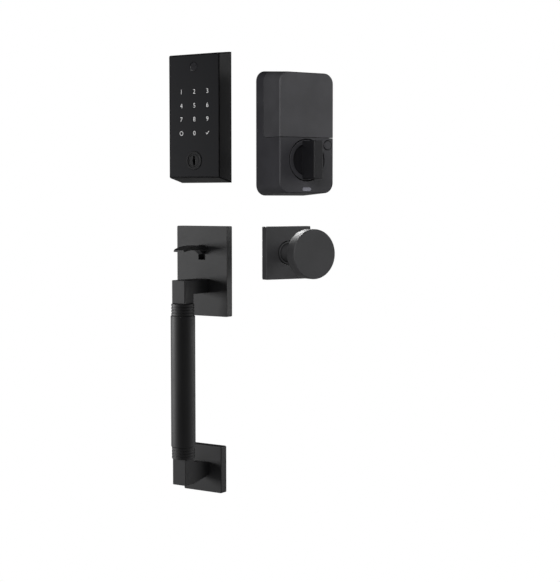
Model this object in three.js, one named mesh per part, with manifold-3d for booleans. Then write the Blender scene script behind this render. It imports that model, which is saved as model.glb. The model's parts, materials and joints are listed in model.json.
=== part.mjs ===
// Keypad smart lock with a handleset: the keypad unit and the pull handle for the outside of a door,
// and the motor unit and the knob for the inside. The four assemblies are laid out as a set off the door.
// Millimetres, +Z up. Every assembly is drawn with its door plane at y = 0 and its front towards -Y.
// The outside pair keeps that placing. The inside pair is turned about Z and set beside it.
import * as THREE from "three";
import { mergeVertices } from "three/addons/utils/BufferGeometryUtils.js";
import Module from "manifold-3d";

const wasm = await Module();
wasm.setup();

// ---------- Driving dimensions ----------
const GAP = 0.3; // running and assembly clearance between separate pieces
const BOLT_AXIS_Z = -49; // axis of the deadbolt: key cylinder outside, thumb turn inside
const LATCH_AXIS_Z = -155; // axis of the latch: thumbpiece outside, knob inside
const LATCH_SPREAD = 20; // from the latch's axis to the screw above it and the one below it
const INSIDE_TURN = THREE.MathUtils.degToRad(67); // how far the inside pair is turned about Z
const INSIDE_PLACE = new THREE.Vector3(74.6, 50.3, 0);

// Keypad unit: a box with a slightly shorter front, so its top and bottom faces slope.
const KEYPAD_HALF_WIDTH = 36;
const KEYPAD_DEPTH = 24;
const KEYPAD_BACK_HALF_HEIGHT = 74.6;
const KEYPAD_FRONT_TOP = 71.8;
const KEYPAD_FRONT_BOTTOM = -68.9;
const KEYPAD_EDGE_RADIUS = 1.5;
const KEYPAD_WALL = 3;
const PANEL_MARGIN = 1.3; // rim of the housing round the flush touch panel
const PANEL_THICKNESS = 2;
const STATUS_LENS_Z = 57.8;
const STATUS_LENS_RADIUS = 5.2;
const GASKET_THICKNESS = 1.2;
const BACKPLATE_THICKNESS = 1.5;
const CABLE_HOLE_Z = -18;
const BOLT_SPREAD = 17.5; // from the deadbolt's axis to the through-bolt on each side of it

// Key cylinder
const CYLINDER_RING_RADIUS = 10.5;
const CYLINDER_BODY_RADIUS = 9.9;
const CYLINDER_NOSE_RADIUS = 8.4;
const PLUG_RADIUS = 6.8;
const KEYWAY_WIDTH = 2.6;
const KEYWAY_HEIGHT = 10.8;
const TAILPIECE_REACH = 42;

// Motor unit: four-sided draft from the door plane to the front face
const UNIT_BACK = { width: 77, height: 141.8, radius: 12 };
const UNIT_FRONT = { width: 73, height: 135.6 };
const UNIT_DEPTH = 46.5;
const UNIT_CENTRE_Z = -18.1; // middle of the back
const UNIT_DRAFT_Z = -27; // the top draws in more than the bottom, about this height
const UNIT_WALL = 2.5;
const COVER_SEAM_Z = -23.3; // lower edge of the battery cover
const COVER_GAP = 0.5;
const COVER_BACK_Y = -14; // the battery cover wraps the sides in front of this plane
const CELL_RADIUS = 7.25; // AA cell
const CELL_LENGTH = 50.5;
const CELL_PITCH = 15;
const TURN_DISH_RADIUS = 22.8;
const TURN_DIAL_RADIUS = 17.4;
const TRIM_CHAMFER = 0.9;
const PADDLE_HALF_HEIGHT = 21.7;
const PADDLE_HALF_WIDTH = 6.4;
const PADDLE_FRONT_Y = -70;
const HUB_RADIUS = 7.5;
const DISH_GAP = 1.4; // groove round the dish's trim ring
const BUTTON_PLACE = { x: 28.6, z: -31.9, radius: 4.9 };
const BUTTON_GAP = 0.7;
const WINDOW_SIZE = { width: 11.8, height: 4.5, z: -82 };

// Gear train, module 1
const GEAR_MODULE = 1;
const SPINDLE_TEETH = 32;
const IDLER_TEETH = 18;
const PINION_TEETH = 12;
const IDLER_DIRECTION = THREE.MathUtils.degToRad(145);
const PINION_DIRECTION = THREE.MathUtils.degToRad(-110);
const GEAR_FRONT_Y = -11;
const GEAR_BACK_Y = -6;

// Knob
const ROSETTE_HALF = 30.6;
const ROSETTE_THICKNESS = 9;
const KNOB_FACE_Y = -62.5;
const KNOB_RADIUS = 28.2;
const KNOB_RIM = 15.5;
const KNOB_NECK_RADIUS = 10.8;

// Handleset
const PLATE_HALF_WIDTH = 36;
const PLATE_TOP = -124;
const PLATE_BOTTOM = -228;
const PLATE_THICKNESS = 10;
const THUMB_PIVOT = { y: -4.7, z: -152 };
const PIN_RADIUS = 1.5;
const THUMB_HALF_WIDTH = 9;
const THUMB_TIP_Y = -53;
const SLOT_HALF_WIDTH = 4.85;
const SLOT_TOP = -146;
const SLOT_BOTTOM = -163;
const GRIP_AXIS_Y = -46;
const GRIP_RADIUS = 14;
const GRIP_ROD_RADIUS = 4;
const FERRULE_RADIUS = 13.2;
const FERRULE_LENGTH = 13.5;
const FERRULE_GROOVES = 3;
const GROOVE_DEPTH = 0.7;
const GROOVE_HALF_WIDTH = 0.45;
const ELBOW_HALF_WIDTH = 9.3;
const ELBOW_HALF_DEPTH = 8.3;
// Heights: the ends of an elbow's block, its arm's inner edge at the block, and the arm's end at the plate.
const UPPER_ELBOW = { outer: -185, inner: -211.6, armInner: -201, plateOuter: -185, plateInner: -201 };
const LOWER_ELBOW = { outer: -419.5, inner: -389.4, armInner: -394, plateOuter: -413.7, plateInner: -398.3 };
const LOWER_ROSETTE = { halfWidth: 27.2, top: -379, bottom: -433.5, thickness: 10 };

const FINE = 32; // segments of a large round surface that shows
const PLAIN = 18; // segments of a hidden round surface
const SMALL = 12; // segments of a screw, stud or small hole

// ---------- Solids ----------
function solidOf(geometry) {
  const bare = geometry.index ? geometry.toNonIndexed() : geometry.clone();
  bare.deleteAttribute("normal");
  bare.deleteAttribute("uv");
  const merged = mergeVertices(bare, 1e-4);
  const mesh = new wasm.Mesh({
    numProp: 3,
    vertProperties: merged.attributes.position.array,
    triVerts: new Uint32Array(merged.index.array),
  });
  return new wasm.Manifold(mesh);
}

function geometryOf(solid) {
  const mesh = solid.getMesh();
  const geometry = new THREE.BufferGeometry();
  geometry.setAttribute("position", new THREE.BufferAttribute(mesh.vertProperties, 3));
  geometry.setIndex(new THREE.BufferAttribute(mesh.triVerts, 1));
  const faceted = geometry.toNonIndexed();
  faceted.computeVertexNormals();
  return faceted;
}

function combine(method, first, others) {
  const result = others.reduce((solid, next) => solid[method](solidOf(next)), solidOf(first));
  return geometryOf(result);
}

const cut = (body, ...tools) => combine("subtract", body, tools);
const join = (body, ...extras) => combine("add", body, extras);
const common = (body, ...others) => combine("intersect", body, others);

// ---------- Basic shapes ----------
const X = new THREE.Vector3(1, 0, 0);
const Y = new THREE.Vector3(0, 1, 0);
const Z = new THREE.Vector3(0, 0, 1);

function box(xLow, xHigh, yLow, yHigh, zLow, zHigh) {
  const geometry = new THREE.BoxGeometry(xHigh - xLow, yHigh - yLow, zHigh - zLow);
  return geometry.translate((xLow + xHigh) / 2, (yLow + yHigh) / 2, (zLow + zHigh) / 2);
}

// A rounded rectangle in the plane of the door, centred on x and z.
function roundedRectangle(width, height, radius, x = 0, z = 0) {
  const right = x + width / 2;
  const left = x - width / 2;
  const top = z + height / 2;
  const bottom = z - height / 2;
  const quarter = Math.PI / 2;
  const shape = new THREE.Shape();
  shape.absarc(right - radius, top - radius, radius, 0, quarter);
  shape.absarc(left + radius, top - radius, radius, quarter, 2 * quarter);
  shape.absarc(left + radius, bottom + radius, radius, 2 * quarter, 3 * quarter);
  shape.absarc(right - radius, bottom + radius, radius, 3 * quarter, 4 * quarter);
  return shape;
}

function extrude(shape, depth, curveSegments) {
  return new THREE.ExtrudeGeometry(shape, { depth, bevelEnabled: false, curveSegments, steps: 1 });
}

// An outline in x and z, extruded from the front plane to the back plane.
function alongY(shape, yFront, yBack, curveSegments = 6) {
  const basis = new THREE.Matrix4().makeBasis(X, Z, Y.clone().negate());
  return extrude(shape, yBack - yFront, curveSegments).applyMatrix4(basis).translate(0, yBack, 0);
}

// An outline in y and z, extruded to both sides of the middle plane.
function alongX(points, halfWidth, x = 0) {
  const shape = new THREE.Shape(points.map(([y, z]) => new THREE.Vector2(y, z)));
  const basis = new THREE.Matrix4().makeBasis(Y, Z, X);
  return extrude(shape, 2 * halfWidth, 1).applyMatrix4(basis).translate(x - halfWidth, 0, 0);
}

// A turned solid: the profile lists [radius, height] and starts and ends on the axis or closes on itself.
function turned(profile, segments) {
  const points = profile.map(([radius, height]) => new THREE.Vector2(radius, height));
  const area = points.reduce((sum, point, i) => {
    const next = points[(i + 1) % points.length];
    return sum + point.x * next.y - next.x * point.y;
  }, 0);
  return new THREE.LatheGeometry(area > 0 ? points : points.reverse(), segments);
}

const turnedY = (profile, x, z, segments = PLAIN) => turned(profile, segments).translate(x, 0, z);

function turnedZ(profile, x, y, segments = PLAIN) {
  return turned(profile, segments).rotateX(Math.PI / 2).translate(x, y, 0);
}

const rodProfile = (radius, low, high) => [[0, low], [radius, low], [radius, high], [0, high]];

function ringProfile(outer, inner, low, high) {
  return [[inner, low], [outer, low], [outer, high], [inner, high], [inner, low]];
}

const rodY = (radius, yFront, yBack, x, z, segments = PLAIN) =>
  turnedY(rodProfile(radius, yFront, yBack), x, z, segments);

const ringY = (outer, inner, yFront, yBack, x, z, segments = PLAIN) =>
  turnedY(ringProfile(outer, inner, yFront, yBack), x, z, segments);

function rodX(radius, halfLength, y, z, x = 0) {
  return turned(rodProfile(radius, -halfLength, halfLength), PLAIN).rotateZ(-Math.PI / 2).translate(x, y, z);
}

// Draws the front end of an extrusion in, evenly about a centre height.
function draft(geometry, yFront, yBack, widthShare, heightShare, centreZ) {
  const position = geometry.attributes.position;
  for (let i = 0; i < position.count; i += 1) {
    const forward = (yBack - position.getY(i)) / (yBack - yFront);
    const widthNow = 1 + (widthShare - 1) * forward;
    const heightNow = 1 + (heightShare - 1) * forward;
    position.setX(i, position.getX(i) * widthNow);
    position.setZ(i, centreZ + (position.getZ(i) - centreZ) * heightNow);
  }
  return geometry;
}

// A screw or bolt along Y: its head lies in front of the plate that it holds.
function screwY(headRadius, headFrontY, headBackY, shankRadius, shankEndY, x, z) {
  const profile = [
    [0, headFrontY],
    [headRadius, headFrontY],
    [headRadius, headBackY],
    [shankRadius, headBackY],
    [shankRadius, shankEndY],
    [0, shankEndY],
  ];
  return turnedY(profile, x, z, SMALL);
}

// ---------- Gears ----------
// Involute outline of a spur gear, with thinned teeth for backlash. The first tooth points along phase.
function gearShape(teeth, phase, boreRadius) {
  const pitchRadius = (GEAR_MODULE * teeth) / 2;
  const baseRadius = pitchRadius * Math.cos(THREE.MathUtils.degToRad(20));
  const tipRadius = pitchRadius + 0.85 * GEAR_MODULE;
  const rootRadius = pitchRadius - 1.2 * GEAR_MODULE;
  const involute = (radius) => {
    const angle = Math.acos(Math.min(1, baseRadius / radius));
    return Math.tan(angle) - angle;
  };
  const toothWidth = 1.25 * GEAR_MODULE; // at the pitch circle, where a full tooth would be 1.57 wide
  const halfTooth = toothWidth / 2 / pitchRadius;
  const halfAngle = (radius) => halfTooth + involute(pitchRadius) - involute(radius);
  const flankStart = Math.max(baseRadius, rootRadius);
  const flankRadii = [flankStart, pitchRadius, tipRadius];
  const points = [];
  const addPoint = (radius, angle) => {
    points.push(new THREE.Vector2(radius * Math.cos(angle), radius * Math.sin(angle)));
  };
  for (let tooth = 0; tooth < teeth; tooth += 1) {
    const centre = phase + (2 * Math.PI * tooth) / teeth;
    addPoint(rootRadius, centre - halfAngle(flankStart) - 0.02);
    flankRadii.forEach((radius) => addPoint(radius, centre - halfAngle(radius)));
    flankRadii.toReversed().forEach((radius) => addPoint(radius, centre + halfAngle(radius)));
    addPoint(rootRadius, centre + halfAngle(flankStart) + 0.02);
  }
  const shape = new THREE.Shape(points);
  if (boreRadius > 0) shape.holes.push(new THREE.Path().absarc(0, 0, boreRadius, 0, 2 * Math.PI, true));
  return shape;
}

// Phase that puts the second gear of a pair in mesh with the first, along the line of their centres.
function meshedPhase(firstPhase, firstTeeth, secondTeeth, direction) {
  const firstPitch = (2 * Math.PI) / firstTeeth;
  const secondPitch = (2 * Math.PI) / secondTeeth;
  const share = (direction - firstPhase) / firstPitch;
  return direction + Math.PI + secondPitch * (share + 0.5);
}

// ---------- Scene graph ----------
const lock = new THREE.Group();
const outside = new THREE.Group();
const inside = new THREE.Group();
inside.position.copy(INSIDE_PLACE);
inside.rotation.z = INSIDE_TURN;
lock.add(outside, inside);

const FINISHES = {
  satinBlack: { color: 0x2b2b2e, roughness: 0.48, metalness: 0.35 },
  mattBlackPlastic: { color: 0x343438, roughness: 0.6, metalness: 0 },
  touchGlass: { color: 0x15161a, roughness: 0.3, metalness: 0 },
  lens: { color: 0xc9c7d6, roughness: 0.25, metalness: 0 },
  steel: { color: 0x8b8d90, roughness: 0.4, metalness: 1 },
  brass: { color: 0xb08d4a, roughness: 0.4, metalness: 1 },
  rubber: { color: 0x1c1c1c, roughness: 0.9, metalness: 0 },
  board: { color: 0x1f5a35, roughness: 0.6, metalness: 0 },
  innerPlastic: { color: 0x55565a, roughness: 0.7, metalness: 0 },
  cell: { color: 0x8a6a33, roughness: 0.45, metalness: 0.2 },
  acetal: { color: 0xd8d6cc, roughness: 0.5, metalness: 0 },
};

function add(group, name, geometry, finish) {
  const mesh = new THREE.Mesh(geometry, new THREE.MeshStandardMaterial(FINISHES[finish]));
  mesh.name = name;
  group.add(mesh);
}

// ---------- Keypad unit ----------
const CAVITY_FRONT_Y = -KEYPAD_DEPTH + 3.4;
const HOUSING_BACK_Y = -GASKET_THICKNESS - GAP;
const RECESS_FLOOR_Y = -KEYPAD_DEPTH + PANEL_THICKNESS + GAP;
const BACKPLATE_FRONT_Y = HOUSING_BACK_Y - BACKPLATE_THICKNESS;
const PANEL_TOP = KEYPAD_FRONT_TOP - PANEL_MARGIN;
const PANEL_BOTTOM = KEYPAD_FRONT_BOTTOM + PANEL_MARGIN;
const PANEL_HEIGHT = PANEL_TOP - PANEL_BOTTOM;
const PANEL_CENTRE_Z = (PANEL_TOP + PANEL_BOTTOM) / 2;
const BOSS_HEIGHTS = [66.2, -63.2];
const BACK_SCREW = { headRadius: 3, shankRadius: 1.3, tipY: -9 };

function cableHole(yFront, yBack) {
  return box(-8, 8, yFront, yBack, CABLE_HOLE_Z - 4, CABLE_HOLE_Z + 4);
}

function addKeypadCase() {
  const outerSide = [
    [0, -KEYPAD_BACK_HALF_HEIGHT],
    [0, KEYPAD_BACK_HALF_HEIGHT],
    [-KEYPAD_DEPTH, KEYPAD_FRONT_TOP],
    [-KEYPAD_DEPTH, KEYPAD_FRONT_BOTTOM],
  ];
  const cavitySide = [
    [1, -KEYPAD_BACK_HALF_HEIGHT + KEYPAD_WALL],
    [1, KEYPAD_BACK_HALF_HEIGHT - KEYPAD_WALL],
    [CAVITY_FRONT_Y, KEYPAD_FRONT_TOP - KEYPAD_WALL],
    [CAVITY_FRONT_Y, KEYPAD_FRONT_BOTTOM + KEYPAD_WALL],
  ];
  const width = 2 * KEYPAD_HALF_WIDTH;
  const height = 2 * KEYPAD_BACK_HALF_HEIGHT;
  const rounded = roundedRectangle(width, height, KEYPAD_EDGE_RADIUS);
  const blank = common(
    alongX(outerSide, KEYPAD_HALF_WIDTH + 1),
    alongY(rounded, -KEYPAD_DEPTH - 1, HOUSING_BACK_Y, 3),
  );
  const recessWidth = width - 2 * PANEL_MARGIN;
  const recess = roundedRectangle(recessWidth, PANEL_HEIGHT, 1, 0, PANEL_CENTRE_Z);
  const shell = cut(
    blank,
    alongX(cavitySide, KEYPAD_HALF_WIDTH - KEYPAD_WALL),
    alongY(recess, -KEYPAD_DEPTH - 1, RECESS_FLOOR_Y, 3),
    rodY(CYLINDER_NOSE_RADIUS + GAP, -KEYPAD_DEPTH - 1, 0, 0, BOLT_AXIS_Z),
  );
  const bossBackY = BACKPLATE_FRONT_Y - GAP;
  const bosses = BOSS_HEIGHTS.map((z) => rodY(2.8, CAVITY_FRONT_Y - 0.5, bossBackY, 0, z, SMALL));
  const holeRadius = BACK_SCREW.shankRadius + GAP;
  const holes = BOSS_HEIGHTS.map((z) => rodY(holeRadius, BACK_SCREW.tipY - 1, 0, 0, z, SMALL));
  add(outside, "keypad_housing", cut(join(shell, ...bosses), ...holes), "satinBlack");

  const panelWidth = recessWidth - 2 * GAP;
  const panel = roundedRectangle(panelWidth, PANEL_HEIGHT - 2 * GAP, 0.8, 0, PANEL_CENTRE_Z);
  const ringHole = new THREE.Path().absarc(0, BOLT_AXIS_Z, CYLINDER_RING_RADIUS + GAP, 0, 2 * Math.PI, true);
  const lensHole = new THREE.Path().absarc(0, STATUS_LENS_Z, STATUS_LENS_RADIUS + GAP, 0, 2 * Math.PI, true);
  panel.holes.push(ringHole, lensHole);
  const panelBackY = -KEYPAD_DEPTH + PANEL_THICKNESS;
  add(outside, "keypad_touch_panel", alongY(panel, -KEYPAD_DEPTH, panelBackY, 10), "touchGlass");
  add(
    outside,
    "keypad_status_lens",
    rodY(STATUS_LENS_RADIUS, -KEYPAD_DEPTH, -KEYPAD_DEPTH + PANEL_THICKNESS, 0, STATUS_LENS_Z),
    "lens",
  );
}

function addKeypadBack() {
  const postXs = [-BOLT_SPREAD, BOLT_SPREAD];
  const sheet = (yFront, yBack, halfWidth, bottom, top, screwHole, tailHole, postHole) =>
    cut(
      box(-halfWidth, halfWidth, yFront, yBack, bottom, top),
      ...BOSS_HEIGHTS.map((z) => rodY(screwHole, yFront - 1, yBack + 1, 0, z, SMALL)),
      rodY(tailHole, yFront - 1, yBack + 1, 0, BOLT_AXIS_Z),
      cableHole(yFront - 1, yBack + 1),
      ...(postHole ? postXs.map((x) => rodY(postHole, yFront - 1, yBack + 1, x, BOLT_AXIS_Z)) : []),
    );
  const gasketHalf = KEYPAD_HALF_WIDTH - 0.4;
  const gasketTop = KEYPAD_BACK_HALF_HEIGHT - 0.4;
  const headHole = BACK_SCREW.headRadius + 2 * GAP;
  const gasket = sheet(-GASKET_THICKNESS, 0, gasketHalf, -gasketTop, gasketTop, headHole, 11, 3.9);
  add(outside, "keypad_gasket", gasket, "rubber");

  const plateHalf = KEYPAD_HALF_WIDTH - KEYPAD_WALL - 0.5;
  const screwHole = BACK_SCREW.shankRadius + GAP;
  const plate = sheet(BACKPLATE_FRONT_Y, HOUSING_BACK_Y, plateHalf, -70, 71, screwHole, 6.8, 0);
  const posts = postXs.map((x) => rodY(3.4, HOUSING_BACK_Y - 0.5, 12, x, BOLT_AXIS_Z));
  const threads = postXs.map((x) => rodY(2.1, 2, 13, x, BOLT_AXIS_Z, SMALL));
  add(outside, "keypad_backplate", cut(join(plate, ...posts), ...threads), "steel");

  const { headRadius, shankRadius, tipY } = BACK_SCREW;
  BOSS_HEIGHTS.forEach((z, i) => {
    const screw = screwY(headRadius, -0.1, HOUSING_BACK_Y + GAP, shankRadius, tipY, 0, z);
    add(outside, `keypad_back_screw_${i + 1}`, screw, "steel");
  });
}

function addKeypadElectronics() {
  const boardBackY = -17;
  const board = box(-29, 29, boardBackY - 1.6, boardBackY, -29, 61);
  add(outside, "keypad_circuit_board", board, "board");
  add(outside, "keypad_buzzer", rodY(6, boardBackY + GAP, -12.5, -17, 42), "mattBlackPlastic");
  const shell = box(-5.5, 5.5, boardBackY + GAP, -7, CABLE_HOLE_Z - 3, CABLE_HOLE_Z + 3);
  const mouth = box(-4.3, 4.3, -12, -6, CABLE_HOLE_Z - 1.8, CABLE_HOLE_Z + 1.8);
  add(outside, "keypad_cable_connector", cut(shell, mouth), "acetal");
}

function addKeyCylinder() {
  const ringFrontY = -KEYPAD_DEPTH - 0.5;
  const ringBackY = RECESS_FLOOR_Y - GAP;
  const ringInner = CYLINDER_NOSE_RADIUS + GAP;
  const ring = ringY(CYLINDER_RING_RADIUS, ringInner, ringFrontY, ringBackY, 0, BOLT_AXIS_Z, FINE);
  add(outside, "keypad_cylinder_ring", ring, "satinBlack");

  const bodyFrontY = CAVITY_FRONT_Y + GAP;
  const bodyBackY = BACKPLATE_FRONT_Y - GAP;
  const bodyProfile = [
    [0, -KEYPAD_DEPTH],
    [CYLINDER_NOSE_RADIUS, -KEYPAD_DEPTH],
    [CYLINDER_NOSE_RADIUS, bodyFrontY],
    [CYLINDER_BODY_RADIUS, bodyFrontY],
    [CYLINDER_BODY_RADIUS, bodyBackY],
    [0, bodyBackY],
  ];
  const pinStack = box(-3.6, 3.6, bodyFrontY, bodyBackY, BOLT_AXIS_Z, BOLT_AXIS_Z + 15.5);
  const bore = rodY(PLUG_RADIUS + GAP, -KEYPAD_DEPTH - 1, 0, 0, BOLT_AXIS_Z, FINE);
  const body = cut(join(turnedY(bodyProfile, 0, BOLT_AXIS_Z, FINE), pinStack), bore);
  add(outside, "keypad_cylinder_body", body, "steel");

  const plugBackY = bodyBackY - 0.2;
  const halfKeyway = KEYWAY_WIDTH / 2;
  const slotHalf = KEYWAY_HEIGHT / 2;
  const keyway = box(
    -halfKeyway, halfKeyway, -KEYPAD_DEPTH - 1, -9, BOLT_AXIS_Z - slotHalf, BOLT_AXIS_Z + slotHalf,
  );
  const plug = cut(rodY(PLUG_RADIUS, -KEYPAD_DEPTH + 0.1, plugBackY, 0, BOLT_AXIS_Z, FINE), keyway);
  add(outside, "key_plug", plug, "steel");
  const tail = box(-1, 1, plugBackY + GAP, TAILPIECE_REACH, BOLT_AXIS_Z - 3, BOLT_AXIS_Z + 3);
  add(outside, "tailpiece", tail, "steel");
}

// ---------- Motor unit ----------
const UNIT_TAPER = [UNIT_FRONT.width / UNIT_BACK.width, UNIT_FRONT.height / UNIT_BACK.height];
const UNIT_INNER_FRONT_Y = -UNIT_DEPTH + UNIT_WALL;
const BUTTON_BACK_Y = -41.5;
const PLATE_FRONT_Y = -2;
const CHASSIS = { front: -13.8, back: -12.3 };
const CHASSIS_SCREWS = [-1, 1].map((side) => ({ x: 29 * side, z: 44 }));
const IDLER_DISTANCE = (GEAR_MODULE * (SPINDLE_TEETH + IDLER_TEETH)) / 2;
const PINION_DISTANCE = (GEAR_MODULE * (IDLER_TEETH + PINION_TEETH)) / 2;
const IDLER_X = IDLER_DISTANCE * Math.cos(IDLER_DIRECTION);
const IDLER_Z = BOLT_AXIS_Z + IDLER_DISTANCE * Math.sin(IDLER_DIRECTION);
const PINION_X = IDLER_X + PINION_DISTANCE * Math.cos(PINION_DIRECTION);
const PINION_Z = IDLER_Z + PINION_DISTANCE * Math.sin(PINION_DIRECTION);
const AXLE_RADIUS = 2;
const SHAFT_RADIUS = 1.5;

function unitOutline(inset) {
  const width = UNIT_BACK.width - 2 * inset;
  const height = UNIT_BACK.height - 2 * inset;
  return roundedRectangle(width, height, UNIT_BACK.radius - inset, 0, UNIT_CENTRE_Z);
}

function unitSolid(inset, yFront, yBack) {
  return draft(alongY(unitOutline(inset), yFront, yBack, 5), -UNIT_DEPTH, 0, ...UNIT_TAPER, UNIT_DRAFT_Z);
}

function addUnitCase() {
  const shell = cut(unitSolid(0, -UNIT_DEPTH, 0), unitSolid(UNIT_WALL, UNIT_INNER_FRONT_Y, 1));
  const far = 200;
  const coverZone = box(-far, far, -far, COVER_BACK_Y - COVER_GAP, COVER_SEAM_Z, far);
  const cutZone = box(-far, far, -far, COVER_BACK_Y, COVER_SEAM_Z - COVER_GAP, far);
  add(inside, "battery_cover", common(shell, coverZone), "mattBlackPlastic");

  const windowShape = roundedRectangle(
    WINDOW_SIZE.width + 2 * GAP, WINDOW_SIZE.height + 2 * GAP, WINDOW_SIZE.height / 2, 0, WINDOW_SIZE.z,
  );
  const buttonHole = BUTTON_PLACE.radius + BUTTON_GAP;
  const housing = cut(
    shell,
    cutZone,
    rodY(TURN_DISH_RADIUS + DISH_GAP, -UNIT_DEPTH - 1, UNIT_INNER_FRONT_Y + 1, 0, BOLT_AXIS_Z, FINE),
    rodY(buttonHole, -UNIT_DEPTH - 1, BUTTON_BACK_Y + 2, BUTTON_PLACE.x, BUTTON_PLACE.z),
    alongY(windowShape, -UNIT_DEPTH - 1, UNIT_INNER_FRONT_Y + 1),
  );
  add(inside, "interior_housing", housing, "mattBlackPlastic");

  const windowFront = roundedRectangle(
    WINDOW_SIZE.width, WINDOW_SIZE.height, WINDOW_SIZE.height / 2 - 0.01, 0, WINDOW_SIZE.z,
  );
  add(inside, "status_window", alongY(windowFront, -UNIT_DEPTH, UNIT_INNER_FRONT_Y), "lens");
  const button = rodY(BUTTON_PLACE.radius, -UNIT_DEPTH - 0.2, BUTTON_BACK_Y, BUTTON_PLACE.x, BUTTON_PLACE.z);
  add(inside, "program_button", button, "mattBlackPlastic");
}

function addUnitFrame() {
  const plateInset = UNIT_WALL + 0.8;
  const plateOutline = unitOutline(plateInset);
  const plate = cut(
    alongY(plateOutline, PLATE_FRONT_Y, 0, 4),
    rodY(9, PLATE_FRONT_Y - 1, 1, 0, BOLT_AXIS_Z),
    cableHole(PLATE_FRONT_Y - 1, 1),
    ...[-1, 1].map((side) => rodY(2.3, PLATE_FRONT_Y - 1, 1, side * BOLT_SPREAD, BOLT_AXIS_Z, SMALL)),
  );
  add(inside, "interior_mounting_plate", plate, "steel");
  [-1, 1].forEach((side, i) => {
    const bolt = screwY(3.6, -4.4, PLATE_FRONT_Y - GAP, 1.9, 22, side * BOLT_SPREAD, BOLT_AXIS_Z);
    add(inside, `interior_through_bolt_${i + 1}`, bolt, "steel");
  });

  const chassisOutline = unitOutline(UNIT_WALL + 2.2);
  const standoffBack = PLATE_FRONT_Y - GAP;
  const standoffs = [...CHASSIS_SCREWS, { x: -28, z: -78 }, { x: 28, z: -78 }];
  const chassis = cut(
    join(
      alongY(chassisOutline, CHASSIS.front, CHASSIS.back, 4),
      rodY(AXLE_RADIUS, CHASSIS.back - 0.5, GEAR_BACK_Y + 1, IDLER_X, IDLER_Z),
      ...standoffs.map(({ x, z }) => rodY(3.2, CHASSIS.back - 0.5, standoffBack, x, z, SMALL)),
    ),
    rodY(HUB_RADIUS + 0.5, CHASSIS.front - 1, CHASSIS.back + 1, 0, BOLT_AXIS_Z),
    rodY(SHAFT_RADIUS + 0.5, CHASSIS.front - 1, CHASSIS.back + 1, PINION_X, PINION_Z, SMALL),
    ...CHASSIS_SCREWS.map(({ x, z }) => rodY(1.6, CHASSIS.front - 1, 0, x, z, SMALL)),
  );
  add(inside, "interior_chassis", chassis, "innerPlastic");
  CHASSIS_SCREWS.forEach(({ x, z }, i) => {
    const screw = screwY(2.8, CHASSIS.front - 2, CHASSIS.front - GAP, 1.3, -3, x, z);
    add(inside, `chassis_screw_${i + 1}`, screw, "steel");
  });
}

// Every second cell stands on its head.
function mirrored(profile, upsideDown) {
  const low = profile[0][1];
  const high = profile[profile.length - 1][1];
  return upsideDown ? profile.map(([radius, z]) => [radius, low + high - z]).reverse() : profile;
}

function addBatteries() {
  const trayBack = -23;
  const trayFront = -42;
  const cellY = -32.4;
  const cellBottom = -10;
  const halfWidth = 2 * CELL_PITCH;
  const top = cellBottom + CELL_LENGTH;
  const tray = cut(
    box(-halfWidth - 1.9, halfWidth + 1.9, trayFront, trayBack, cellBottom - 3, top + 3),
    box(-halfWidth, halfWidth, trayFront - 1, trayBack - 1.6, cellBottom - 0.8, top + 1.4),
  );
  add(inside, "battery_tray", tray, "innerPlastic");
  const shoulder = top - 1.4;
  const capRadius = 2.7;
  const profile = [
    [0, cellBottom],
    [CELL_RADIUS, cellBottom],
    [CELL_RADIUS, shoulder],
    [capRadius, shoulder],
    [capRadius, top],
    [0, top],
  ];
  for (let i = 0; i < 4; i += 1) {
    const cell = turnedZ(mirrored(profile, i % 2), (i - 1.5) * CELL_PITCH, cellY);
    add(inside, `battery_${i + 1}`, cell, "cell");
  }
  const board = box(-28, 28, -18, -16.4, -15, 36);
  add(inside, "interior_circuit_board", board, "board");
}

function addDrive() {
  const hubBack = PLATE_FRONT_Y - GAP;
  const hubFront = -39.2;
  const hub = rodY(HUB_RADIUS, hubFront, hubBack, 0, BOLT_AXIS_Z);
  const slot = box(-1.6, 1.6, -16, 0, BOLT_AXIS_Z - 5, BOLT_AXIS_Z + 5);
  add(inside, "turn_spindle", cut(hub, slot), "steel");

  const idlerPhase = meshedPhase(IDLER_DIRECTION, SPINDLE_TEETH, IDLER_TEETH, IDLER_DIRECTION);
  const pinionPhase = meshedPhase(idlerPhase, IDLER_TEETH, PINION_TEETH, PINION_DIRECTION);
  const spindleGear = gearShape(SPINDLE_TEETH, IDLER_DIRECTION, HUB_RADIUS + GAP);
  const idlerGear = gearShape(IDLER_TEETH, idlerPhase, AXLE_RADIUS + GAP);
  const pinion = gearShape(PINION_TEETH, pinionPhase, 0);
  const blank = (shape, x, z, segments) =>
    alongY(shape, GEAR_FRONT_Y, GEAR_BACK_Y, segments).translate(x, 0, z);
  add(inside, "spindle_gear", blank(spindleGear, 0, BOLT_AXIS_Z, 10), "acetal");
  add(inside, "idler_gear", blank(idlerGear, IDLER_X, IDLER_Z, 6), "acetal");
  const pinionGear = blank(pinion, PINION_X, PINION_Z, 1);
  const shaft = rodY(SHAFT_RADIUS, CHASSIS.front, GEAR_BACK_Y - 1, PINION_X, PINION_Z, SMALL);
  add(inside, "motor_pinion", join(pinionGear, shaft), "brass");
  add(inside, "motor_body", rodY(6, -35, CHASSIS.front - GAP, PINION_X, PINION_Z), "steel");
}

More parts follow.
